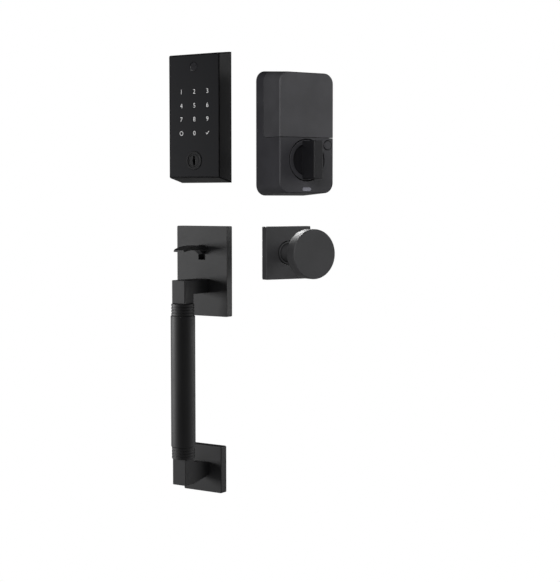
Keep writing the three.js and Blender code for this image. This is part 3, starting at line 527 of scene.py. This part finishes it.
def circle(radius, along, x, z, axis):
    ring = []
    for step in range(TURNED_STEPS):
        angle = 2 * math.pi * step / TURNED_STEPS
        across, up = radius * math.cos(angle), radius * math.sin(angle)
        ring.append((x + across, along, z + up) if axis == "Y" else (x + across, z + up, along))
    return ring


def turned(name, profile, x=0.0, z=0.0, axis="Y", ring=False):
    """A turned body about Y through (x, z), or about Z through x and y.

    The profile lists (radius, place along the axis). A ring's profile closes on itself.
    """
    rings = [circle(radius, along, x, z, axis) for radius, along in profile if radius > 0]
    return solid(name, rings, cyclic=ring)


def bore(radius, y_front, y_back, x, z):
    """A round cutting tool along Y."""
    return turned("bore", [(radius, y_front), (radius, y_back)], x, z)


def rod_profile(radius, start, end):
    return [(0, start), (radius, start), (radius, end), (0, end)]


def sleeve_profile(inner, radius, start, end):
    return [(inner, start), (radius, start), (radius, end), (inner, end)]


def eased(points, radius, cyclic=False):
    """An outline with rounded corners. A corner may carry its own radius as a third value."""
    result = []
    for i, point in enumerate(points):
        here = Vector(point[:2])
        own = point[2] if len(point) > 2 else radius
        if own <= 0 or (not cyclic and i in (0, len(points) - 1)):
            result.append(tuple(here))
            continue
        before = Vector(points[i - 1][:2]) - here
        after = Vector(points[(i + 1) % len(points)][:2]) - here
        half = before.angle(after) / 2
        reach = min(own / math.tan(half), ROUNDED_SHARE * before.length, ROUNDED_SHARE * after.length)
        centre = here + (before.normalized() + after.normalized()).normalized() * reach / math.cos(half)
        start = here + before.normalized() * reach - centre
        end = here + after.normalized() * reach - centre
        for step in range(EDGE_STEPS + 1):
            result.append(tuple(centre + start.slerp(end, step / EDGE_STEPS).normalized() * start.length))
    return result


def extruded(name, outline, half_width, x=0.0):
    """An outline in y and z, extruded to both sides of x."""
    return solid(name, [[(x + side * half_width, y, z) for y, z in outline] for side in (-1, 1)])


def evaluated_mesh(obj):
    bpy.context.view_layer.update()
    graph = bpy.context.evaluated_depsgraph_get()
    return bpy.data.meshes.new_from_object(obj.evaluated_get(graph))


def apply_modifiers(obj):
    mesh = evaluated_mesh(obj)
    obj.modifiers.clear()
    obj.data = mesh
    return obj


def combined(operation, obj, tools):
    for tool in tools:
        modifier = obj.modifiers.new(operation, "BOOLEAN")
        modifier.operation = operation
        modifier.solver = "EXACT"
        modifier.object = tool
    apply_modifiers(obj)
    for tool in tools:
        bpy.data.objects.remove(tool)
    return obj


def cut(obj, *tools):
    return combined("DIFFERENCE", obj, tools)


def joined(obj, *extras):
    return combined("UNION", obj, extras)


def common(obj, *others):
    return combined("INTERSECT", obj, others)


def soften(obj, width, segments, limit):
    modifier = obj.modifiers.new("soft_edges", "BEVEL")
    modifier.width = width
    modifier.segments = segments
    modifier.limit_method = "ANGLE"
    modifier.angle_limit = math.radians(limit)


def softened(obj, width, segments=3, limit=35):
    """Rounds every edge sharper than the limit, in the mesh itself."""
    soften(obj, width, segments, limit)
    return apply_modifiers(obj)


SHARP_ANGLE = 40  # degrees between two faces from which their edge is sharp


def smooth(obj):
    obj.data.shade_smooth()
    obj.data.set_sharp_from_angle(angle=math.radians(SHARP_ANGLE))
    modifier = obj.modifiers.new("face_normals", "WEIGHTED_NORMAL")
    modifier.keep_sharp = True


def light_by_group(obj):
    """Puts a piece under the soft boxes of its own group."""
    low, high = corners([vertex.co for vertex in obj.data.vertices])
    pair = "outside" if (low.x + high.x) / 2 < PAIRS_APART_AT else "inside"
    LIT[pair].objects.link(obj)
    if pair == "inside" and high.z < KNOB_BELOW:
        LIT["knob"].objects.link(obj)


def settle(obj, place, look, *nodes, body=None):
    """Puts a piece in the frame with its finish.

    It stands for the named CAD nodes and rides on their body.
    """
    material, slot = LOOKS[look]
    obj.data.transform(place)
    obj.data.materials.clear()
    obj.data.materials.append(material)
    smooth(obj)
    light_by_group(obj)
    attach(obj, body or BODY_OF[nodes[0]])
    if nodes:
        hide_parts(*nodes)
    return obj


def dress(look, *nodes, edge=0.25):
    """Gives CAD nodes that stay a finish and soft edges."""
    for node in nodes:
        obj = NODES[node]
        material = LOOKS[look][0]
        obj.data.materials.clear()
        obj.data.materials.append(material)
        soften(obj, edge * MM, 2, SHARP_ANGLE)
        smooth(obj)
        light_by_group(obj)


# ---------- Keypad unit ----------
KEYPAD_WALL = 3 * MM
CASE_CORNER = 1.8 * MM
CAVITY_CORNER = 4 * MM
RING_WIDTH = 1.8 * MM  # of the ring round the key plug
FLOOR_BEHIND_PANEL = 1.4 * MM
DOME_HEIGHT = 0.2 * MM  # of the status lens


def build_keypad_case():
    low, high = span("keypad_housing")
    panel_low, panel_high = span("keypad_touch_panel")
    lens_x, lens_z, lens_radius = disc("keypad_status_lens")
    ring_x, ring_z, ring_radius = disc("keypad_cylinder_ring")
    front, back = section("keypad_housing", low.y), section("keypad_housing", high.y)
    outer = tapered(front, low.y, back, high.y, CASE_CORNER)
    inner = tapered(front, low.y, back, high.y, CAVITY_CORNER, KEYPAD_WALL)
    case = block("keypad_case", outer, low.y, high.y, front_edge=0.9 * MM, back_edge=0.5 * MM)
    margin = Vector((GAP, 0, GAP))
    recess = straight(panel_low - margin, panel_high + margin, 1.1 * MM)
    cut(
        case,
        block("cavity", inner, panel_high.y + FLOOR_BEHIND_PANEL, high.y + KEYPAD_WALL),
        block("recess", recess, low.y - KEYPAD_WALL, panel_high.y + GAP),
        bore(ring_radius - RING_WIDTH, low.y - KEYPAD_WALL, 0, ring_x, ring_z),
    )
    settle(softened(case, 0.2 * MM, 2, 50), OUTSIDE, "keypad_paint", "keypad_housing")

    panel = block("touch_panel", straight(panel_low, panel_high, 0.9 * MM), panel_low.y, panel_high.y)
    cut(
        panel,
        bore(lens_radius + GAP, panel_low.y - PAST, panel_high.y + PAST, lens_x, lens_z),
        bore(ring_radius + GAP, panel_low.y - PAST, panel_high.y + PAST, ring_x, ring_z),
    )
    settle(softened(panel, 0.3 * MM), OUTSIDE, "touch_panel", "keypad_touch_panel")

    lens_low, lens_high = span("keypad_status_lens")
    dome = rod_profile(lens_radius, lens_low.y, lens_high.y)
    dome[1] = (lens_radius, lens_low.y + DOME_HEIGHT)
    lens = turned("status_lens", eased(dome, 0.35 * MM), lens_x, lens_z)
    settle(lens, OUTSIDE, "status_lens", "keypad_status_lens")


KEY_COLUMNS = (-18 * MM, 0.6 * MM, 19.2 * MM)
KEY_ROWS = (29.6 * MM, 13.7 * MM, -1.9 * MM, -17.8 * MM)
KEY_HEIGHT = 4.9 * MM
KEY_STROKE = 0.5 * MM
DIGIT_THINNING = 0.014  # taken off each side of a digit's strokes, in parts of its type size
PRINT_THICKNESS = 0.06 * MM
TICK = (Vector((-2.2, 0.1)) * MM, Vector((-0.7, -1.5)) * MM, Vector((2.3, 1.9)) * MM)


def digit(text, x, z, y_front):
    """A printed digit, centred on its key."""
    curve = bpy.data.curves.new("digit", "FONT")
    curve.body = text
    curve.offset = -DIGIT_THINNING
    curve.extrude = PRINT_THICKNESS / 2
    obj = new_object("digit", curve)
    mesh = evaluated_mesh(obj)
    bpy.data.objects.remove(obj)
    low, high = corners([vertex.co for vertex in mesh.vertices])
    scale = KEY_HEIGHT / (high.y - low.y)
    centred = Matrix.Translation((-(low.x + high.x) / 2, -(low.y + high.y) / 2, 0))
    sized = Matrix.Diagonal((scale, scale, 1, 1))
    upright = Matrix.Rotation(math.pi / 2, 4, "X")
    mesh.transform(Matrix.Translation((x, y_front, z)) @ upright @ sized @ centred)
    return new_object("digit", mesh)


def key_ring(x, z, y_front):
    outer = KEY_HEIGHT / 2
    profile = sleeve_profile(outer - KEY_STROKE, outer, y_front, y_front + PRINT_THICKNESS)
    return turned("key_ring", profile, x, z, ring=True)


def key_tick(x, z, y_front):
    """A tick made of one bent stroke."""
    half = KEY_STROKE / 2
    start, elbow, end = TICK
    first = (elbow - start).normalized()
    second = (end - elbow).normalized()
    across_first = Vector((-first.y, first.x)) * half
    across_second = Vector((-second.y, second.x)) * half
    mitre = (across_first.normalized() + across_second.normalized()).normalized()
    mitre *= half / mitre.dot(across_first.normalized())
    outline = [
        start + across_first, elbow + mitre, end + across_second,
        end - across_second, elbow - mitre, start - across_first,
    ]
    depths = (y_front, y_front + PRINT_THICKNESS)
    return solid("tick", [[(x + point.x, y, z + point.y) for point in outline] for y in depths])


def build_key_symbols():
    y_front = span("keypad_touch_panel")[0].y - PRINT_THICKNESS / 2
    symbols = []
    for row, z in enumerate(KEY_ROWS[:3]):
        for column, x in enumerate(KEY_COLUMNS):
            symbols.append(digit(str(3 * row + column + 1), x, z, y_front))
    symbols.append(key_ring(KEY_COLUMNS[0], KEY_ROWS[3], y_front))
    symbols.append(digit("0", KEY_COLUMNS[1], KEY_ROWS[3], y_front))
    symbols.append(key_tick(KEY_COLUMNS[2], KEY_ROWS[3], y_front))
    bm = bmesh.new()
    for symbol in symbols:
        bm.from_mesh(symbol.data)
        bpy.data.objects.remove(symbol)
    mesh = bpy.data.meshes.new("key_symbols")
    bm.to_mesh(mesh)
    bm.free()
    settle(new_object("key_symbols", mesh), OUTSIDE, "key_print", body=BODY_OF["keypad_touch_panel"])


# Keyway outline: (across, in half keyway widths; up, in millimetres).
KEYWAY = (
    (-0.5, 5.4), (1, 5.4), (1, 2.4), (0.35, 1.6), (0.35, 0.4), (1, -0.4), (1, -5.4),
    (-1, -5.4), (-1, -1.2), (-0.3, -0.2), (-0.3, 1.2), (-1, 2.2), (-1, 4.8),
)
KEYWAY_HALF_WIDTH = 1.3 * MM
KEYWAY_DEPTH = 14 * MM
# The keyway opens into a diamond that narrows inwards.
# MOUTH is its corners in millimetres, and MOUTH_TAPER its (depth, share of that size).
MOUTH = ((0, 5.7), (2.6, 0), (0, -5.7), (-2.6, 0))
MOUTH_TAPER = ((-0.5 * MM, 1.2), (1.6 * MM, 0.5))


def build_key_cylinder():
    x, z, ring_radius = disc("keypad_cylinder_ring")
    low, high = span("keypad_cylinder_ring")
    profile = sleeve_profile(ring_radius - RING_WIDTH, ring_radius, low.y, high.y)
    ring = turned("cylinder_ring", eased(profile, 0.3 * MM, cyclic=True), x, z, ring=True)
    settle(ring, OUTSIDE, "cylinder_metal", "keypad_cylinder_ring")

    plug_low, plug_high = span("key_plug")
    plug_radius = disc("key_plug")[2]
    plug = turned("cylinder_plug", eased(rod_profile(plug_radius, plug_low.y, plug_high.y), 0.35 * MM), x, z)
    keyway = [
        [(x + KEYWAY_HALF_WIDTH * across, y, z + up * MM) for across, up in KEYWAY]
        for y in (plug_low.y - MM, plug_low.y + KEYWAY_DEPTH)
    ]
    mouth = [
        [(x + across * share * MM, plug_low.y + depth, z + up * share * MM) for across, up in MOUTH]
        for depth, share in MOUTH_TAPER
    ]
    cut(plug, solid("keyway", keyway), solid("keyway_mouth", mouth))
    settle(softened(plug, 0.12 * MM, 2, 50), OUTSIDE, "cylinder_metal", "key_plug")
    dress("cylinder_metal", "keypad_cylinder_body")


# ---------- Motor unit ----------
UNIT_EDGE = 1.7 * MM
UNIT_CORNER = 11.8 * MM
SEAM_CORNER = 5 * MM
COVER_GAP = 0.5 * MM
DISH_GAP = 1.4 * MM  # between the housing and the trim ring
BUTTON_GAP = 0.7 * MM
WINDOW_EASE = 0.02 * MM  # keeps the window's ends just short of half circles
FAR = 0.3  # beyond the motor unit on every side
TRIM_CHAMFER = 0.9 * MM
PADDLE_TAPER = 0.35 * MM  # on each side of the paddle, from its skirt to its front


def unit_blank(name, inset, y_front, y_back, edge=0.0):
    low, high = span("interior_housing", INSIDE)
    cover_front = span("battery_cover", INSIDE)[0].y
    front_low = section("interior_housing", low.y, INSIDE)[0]
    front_high = section("battery_cover", cover_front, INSIDE)[1]
    back = section("interior_housing", high.y, INSIDE)
    size_at = tapered((front_low, front_high), low.y, back, high.y, UNIT_CORNER, inset)
    return block(name, size_at, y_front, y_back, front_edge=edge)


def cover_zone(gap):
    """The space in front of and above the seam, grown by a gap, with a rounded lower back corner."""
    low, high = span("battery_cover", INSIDE)
    bottom, back = low.z - gap, high.y + gap
    outline = eased([(-FAR, bottom), (back, bottom, SEAM_CORNER + gap), (back, FAR), (-FAR, FAR)], 0)
    return extruded("cover_zone", outline, FAR)


def build_motor_case():
    low, high = span("interior_housing", INSIDE)
    window_low, window_high = span("status_window", INSIDE)
    dial_x, dial_z, dish_radius = disc("turn_trim_ring", INSIDE)
    button_x, button_z, button_radius = disc("program_button", INSIDE)
    wall = window_high.y - window_low.y

    def shell(name):
        blank = unit_blank(name, 0.0, low.y, high.y, UNIT_EDGE)
        return cut(blank, unit_blank("cavity", wall, low.y + wall, high.y + PAST))

    cover = common(shell("battery_cover_shell"), cover_zone(0.0))
    settle(softened(cover, 0.45 * MM, 3, 50), INSIDE, "cover_plastic", "battery_cover")

    margin = Vector((GAP, 0, GAP))
    pill = straight(window_low - margin, window_high + margin, (window_high.z - window_low.z) / 2 + GAP)
    button_hole = button_radius + BUTTON_GAP
    dish = [(button_hole + 0.5 * MM, low.y - 0.1 * MM), (button_hole, low.y + 0.5 * MM)]
    y_out, y_in = low.y - PAST, low.y + wall + PAST
    housing = shell("motor_housing")
    cut(
        housing,
        cover_zone(COVER_GAP),
        bore(dish_radius + DISH_GAP, y_out, y_in, dial_x, dial_z),
        bore(button_hole, y_out, y_in, button_x, button_z),
        turned("button_dish", dish, button_x, button_z),
        block("window_hole", pill, y_out, y_in),
    )
    settle(softened(housing, 0.4 * MM, 3, 50), INSIDE, "unit_plastic", "interior_housing")

    pill = straight(window_low, window_high, (window_high.z - window_low.z) / 2 - WINDOW_EASE)
    window = block("status_window_lens", pill, window_low.y, window_high.y, front_edge=0.4 * MM)
    settle(window, INSIDE, "window_lens", "status_window")

    button_low, button_high = span("program_button", INSIDE)
    profile = rod_profile(button_radius, button_low.y, button_high.y)
    # The middle of its face is dished.
    profile[0:1] = [(0, button_low.y + 0.15 * MM), (button_radius * 0.7, button_low.y)]
    button = turned("button", eased(profile, 0.5 * MM), button_x, button_z)
    settle(button, INSIDE, "unit_plastic", "program_button")


def build_turn():
    x, z, ring_radius = disc("turn_trim_ring", INSIDE)
    ring_low, ring_high = span("turn_trim_ring", INSIDE)
    dial_radius = disc("turn_dial", INSIDE)[2]
    dial_low, dial_high = span("turn_dial", INSIDE)
    inner = dial_radius + GAP
    profile = [
        (inner, ring_high.y), (ring_radius, ring_high.y), (ring_radius, ring_low.y),
        (inner + TRIM_CHAMFER, ring_low.y), (inner, ring_low.y + TRIM_CHAMFER),
    ]
    ring = turned("trim_ring", eased(profile, 0.25 * MM, cyclic=True), x, z, ring=True)
    settle(ring, INSIDE, "unit_plastic", "turn_trim_ring")

    # The dial takes the darker copy of the plastic: painted shade for its dish.
    dial = turned("dial", eased(rod_profile(dial_radius, dial_low.y, dial_high.y), 0.5 * MM), x, z)
    settle(dial, INSIDE, "shaded_turn_plastic", "turn_dial")

    low, high = span("turn_paddle", INSIDE)
    skirt = ring_low.y - GAP
    outer_low, outer_high = Vector((low.x, 0, low.z)), Vector((high.x, 0, high.z))
    draw = Vector((PADDLE_TAPER, 0, PADDLE_TAPER))
    size_at = tapered((outer_low + draw, outer_high - draw), low.y, (outer_low, outer_high), skirt, 1.9 * MM)
    paddle = block("paddle", size_at, low.y, skirt, front_edge=0.9 * MM, back_edge=0.5 * MM)
    neck_low, neck_high = section("turn_paddle", high.y, INSIDE)
    neck = block("neck", straight(neck_low, neck_high, 1 * MM), skirt - MM, high.y)
    settle(joined(paddle, neck), INSIDE, "shaded_turn_plastic", "turn_paddle")


# ---------- Knob ----------
ROSETTE_RIM = 2.5 * MM
ROSETTE_SKIN = 1.8 * MM
COLLAR_GAP = 1.2 * MM
KNOB_NECK_RADIUS = 10.8 * MM
KNOB_NECK_GAP = 0.6 * MM
KNOB_RIM_WIDTH = 15.5 * MM


def build_knob():
    low, high = span("knob_rosette", INSIDE)
    x, z, collar_radius = disc("knob_collar", INSIDE)
    rosette = block("rosette", straight(low, high, 1.3 * MM), low.y, high.y, back_edge=0.2 * MM)
    margin = Vector((ROSETTE_RIM, 0, ROSETTE_RIM))
    cut(
        rosette,
        block("pocket", straight(low + margin, high - margin, 1 * MM), low.y + ROSETTE_SKIN, high.y + PAST),
        bore(collar_radius + COLLAR_GAP, low.y - PAST, high.y + PAST, x, z),
    )
    settle(softened(rosette, 0.8 * MM, 4), INSIDE, "handle_paint", "knob_rosette")

    collar_low, collar_high = span("knob_collar", INSIDE)
    profile = sleeve_profile(KNOB_NECK_RADIUS + KNOB_NECK_GAP, collar_radius, collar_low.y, collar_high.y)
    collar = turned("collar", eased(profile, 0.3 * MM, cyclic=True), x, z, ring=True)
    settle(collar, INSIDE, "handle_paint", "knob_collar")

    radius = disc("knob_grip", INSIDE)[2]
    grip_low, grip_high = span("knob_grip", INSIDE)
    rim_back = grip_low.y + KNOB_RIM_WIDTH
    # Its face and rim, then the hollow flare down to the neck, each corner with its own rounding.
    profile = [
        (0, grip_low.y),
        (radius, grip_low.y, 1.1 * MM),
        (radius, rim_back, 3.2 * MM),
        (18.5 * MM, rim_back + 2.6 * MM, 6 * MM),
        (13.0 * MM, rim_back + 7 * MM, 6 * MM),
        (KNOB_NECK_RADIUS, rim_back + 15 * MM, 12 * MM),
        (KNOB_NECK_RADIUS, grip_high.y),
        (0, grip_high.y),
    ]
    grip = turned("knob_body", eased(profile, 0.4 * MM), x, z)
    settle(grip, INSIDE, "handle_paint", "knob_grip")


# ---------- Handleset ----------
PLATE_RIM = 2.6 * MM
PLATE_SKIN = 7.4 * MM
SLOT_HALF_WIDTH = 4.85 * MM
SLOT_BOTTOM = -163 * MM
SLOT_TOP = -146 * MM
STUD_HOLE_END = -6.5 * MM  # the lower rosette's hole for its stud is blind


def build_handle_plates():
    low, high = span("handle_upper_plate")
    plate = block("upper_plate", straight(low, high, 1.4 * MM), low.y, high.y, back_edge=0.2 * MM)
    margin = Vector((PLATE_RIM, 0, PLATE_RIM))
    slot_low = Vector((-SLOT_HALF_WIDTH, 0, SLOT_BOTTOM))
    slot_high = Vector((SLOT_HALF_WIDTH, 0, SLOT_TOP))
    cut(
        plate,
        block("pocket", straight(low + margin, high - margin, 1 * MM), low.y + PLATE_SKIN, high.y + PAST),
        block("slot", straight(slot_low, slot_high, 0.6 * MM), low.y - PAST, high.y + PAST),
    )
    settle(softened(plate, 0.8 * MM, 4), OUTSIDE, "handle_paint", "handle_upper_plate")

    low, high = span("handle_lower_rosette")
    rosette = block("lower_rosette", straight(low, high, 1.4 * MM), low.y, high.y, back_edge=0.2 * MM)
    x, z, stud_radius = disc("handle_lower_stud")
    cut(rosette, bore(stud_radius + GAP, STUD_HOLE_END, PAST, x, z))
    settle(softened(rosette, 0.8 * MM, 4), OUTSIDE, "handle_paint", "handle_lower_rosette")


# Thumbpiece outline: (distance in front of the plate, drop below the blade's highest line), in millimetres.
BLADE_TOP = ((3.5, 0.2), (11, 0.0), (18, 0.1), (24, 0.4), (30, 1.1), (36, 2.4), (40, 3.6), (43, 4.7))
BLADE_BOTTOM = ((3.5, 6.4), (11, 5.6), (18, 5.0), (24, 4.7), (30, 4.9), (36, 5.5), (40, 6.2), (43, 6.7))
BLADE_CORNER = 1.1 * MM
TIP_LENGTH = 3 * MM  # of the blade's rounded end
TIP_NARROWING = 1.6 * MM  # of each side, over that length
THUMB_NECK_HALF_WIDTH = 3.8 * MM


def build_thumbpiece():
    low, high = span("thumbpiece")
    plate_front = span("handle_upper_plate")[0].y
    half_width = high.x
    rings = []
    for (forward, top), (_, bottom) in zip(BLADE_TOP, BLADE_BOTTOM):
        y = plate_front - forward * MM
        thickness = (bottom - top) * MM
        from_tip = min(1.0, max(0.0, (y - low.y) / TIP_LENGTH))
        width = half_width - TIP_NARROWING * (1 - math.sqrt(1 - (1 - from_tip) ** 2))
        section_low = Vector((-width, 0, high.z - bottom * MM))
        section_high = Vector((width, 0, high.z - top * MM))
        radius = min(ROUNDED_SHARE * thickness, BLADE_CORNER)
        rings.append(rectangle_ring(y, section_low, section_high, radius))
    blade = solid("thumb_blade", rings)
    # From under the blade down to the thumbpiece's lowest point, and back into the plate's slot.
    neck_outline = [
        (plate_front - 9 * MM, high.z - 2.4 * MM, 1 * MM),
        (plate_front - 8 * MM, high.z - 6.5 * MM, 2 * MM),
        (plate_front - 3 * MM, low.z, 2 * MM),
        (-5.7 * MM, low.z, 1 * MM),
        (-4.7 * MM, high.z - 2.2 * MM, 1 * MM),
    ]
    neck = extruded("thumb_neck", eased(neck_outline, MM, cyclic=True), THUMB_NECK_HALF_WIDTH)
    joined(blade, softened(neck, 0.5 * MM, 3, 50))
    settle(blade, OUTSIDE, "handle_paint", "thumbpiece")


def build_elbow(node, ferrule_node):
    """An upright block on the grip's axis, with an arm from its outer end back to the plate."""
    low, high = span(node)
    ferrule_low, ferrule_high = span(ferrule_node)
    block_back = ferrule_low.y + ferrule_high.y - low.y
    arm_low, arm_high = section(node, high.y)
    behind = [point for point in local_points(node, OUTSIDE) if abs(point.y - block_back) < SAME_PLACE]
    at_block = sorted({round(point.z, 7) for point in behind})
    if ferrule_low.z < low.z:
        outer, arm_inner, inner = at_block[-1], at_block[1], at_block[0]
        plate_outer, plate_inner = arm_high.z, arm_low.z
    else:
        outer, arm_inner, inner = at_block[0], at_block[-2], at_block[-1]
        plate_outer, plate_inner = arm_low.z, arm_high.z
    outline = [
        (low.y, outer), (block_back, outer), (high.y, plate_outer), (high.y, plate_inner),
        (block_back, arm_inner), (block_back, inner), (low.y, inner),
    ]
    elbow = extruded(node + "_body", outline, high.x)
    settle(softened(elbow, 0.7 * MM, 4), OUTSIDE, "handle_paint", node)


FERRULE_BORE = 4.6 * MM
GROOVES = 3
GROOVE_HALF_WIDTH = 0.45 * MM
GROOVE_DEPTH = 0.7 * MM


def build_ferrule(node):
    low, high = span(node)
    radius = (high.x - low.x) / 2
    y = (low.y + high.y) / 2
    half, floor = GROOVE_HALF_WIDTH, radius - GROOVE_DEPTH
    pitch = (high.z - low.z) / (GROOVES + 1)
    profile = [(FERRULE_BORE, low.z, 0), (radius, low.z)]
    for i in range(1, GROOVES + 1):
        centre = low.z + pitch * i
        start, end = centre - half, centre + half
        profile += [(radius, start), (floor, start), (floor, end), (radius, end)]
    profile += [(radius, high.z), (FERRULE_BORE, high.z, 0)]
    ferrule = turned(node + "_body", eased(profile, 0.3 * MM, cyclic=True), 0.0, y, axis="Z", ring=True)
    settle(ferrule, OUTSIDE, "handle_paint", node)


GRIP_WALL = 3 * MM
GRIP_END = 0.8 * MM  # radius of the tube's outer ends


def build_grip():
    low, high = span("handle_grip")
    radius = (high.x - low.x) / 2
    y = (low.y + high.y) / 2
    inner = radius - GRIP_WALL
    profile = [(inner, low.z), (radius, low.z, GRIP_END), (radius, high.z, GRIP_END), (inner, high.z)]
    tube = turned("grip_tube", eased(profile, 0.2 * MM, cyclic=True), 0.0, y, axis="Z", ring=True)
    settle(tube, OUTSIDE, "handle_paint", "handle_grip")


def dress_hidden_parts():
    dress("rubber", "keypad_gasket")
    dress("board", "keypad_circuit_board", "interior_circuit_board")
    dress("inner_plastic", "keypad_buzzer", "interior_chassis", "battery_tray")
    dress("acetal", "keypad_cable_connector", "idler_gear", "spindle_gear", edge=0.12)
    dress("cell_jacket", "battery_1", "battery_2", "battery_3", "battery_4", edge=0.4)
    dress("brass", "motor_pinion", edge=0.12)
    dress(
        "steel", "keypad_backplate", "keypad_back_screw_1", "keypad_back_screw_2", "tailpiece",
        "interior_mounting_plate", "interior_through_bolt_1", "interior_through_bolt_2", "motor_body",
        "turn_spindle", "chassis_screw_1", "chassis_screw_2", "knob_mount_plate", "knob_mount_screw_1",
        "knob_mount_screw_2", "knob_spindle", "handle_upper_liner", "thumb_lift_lever",
        "handle_grip_rod", "handle_lower_stud",
    )
    dress("steel", "knob_return_spring", "thumb_return_spring", "thumb_pivot_pin", edge=0.15)


add_camera()
add_studio()
build_keypad_case()
build_key_symbols()
build_key_cylinder()
build_motor_case()
build_turn()
build_knob()
build_handle_plates()
build_thumbpiece()
build_elbow("handle_upper_elbow", "handle_upper_ferrule")
build_elbow("handle_lower_elbow", "handle_lower_ferrule")
build_ferrule("handle_upper_ferrule")
build_ferrule("handle_lower_ferrule")
build_grip()
dress_hidden_parts()
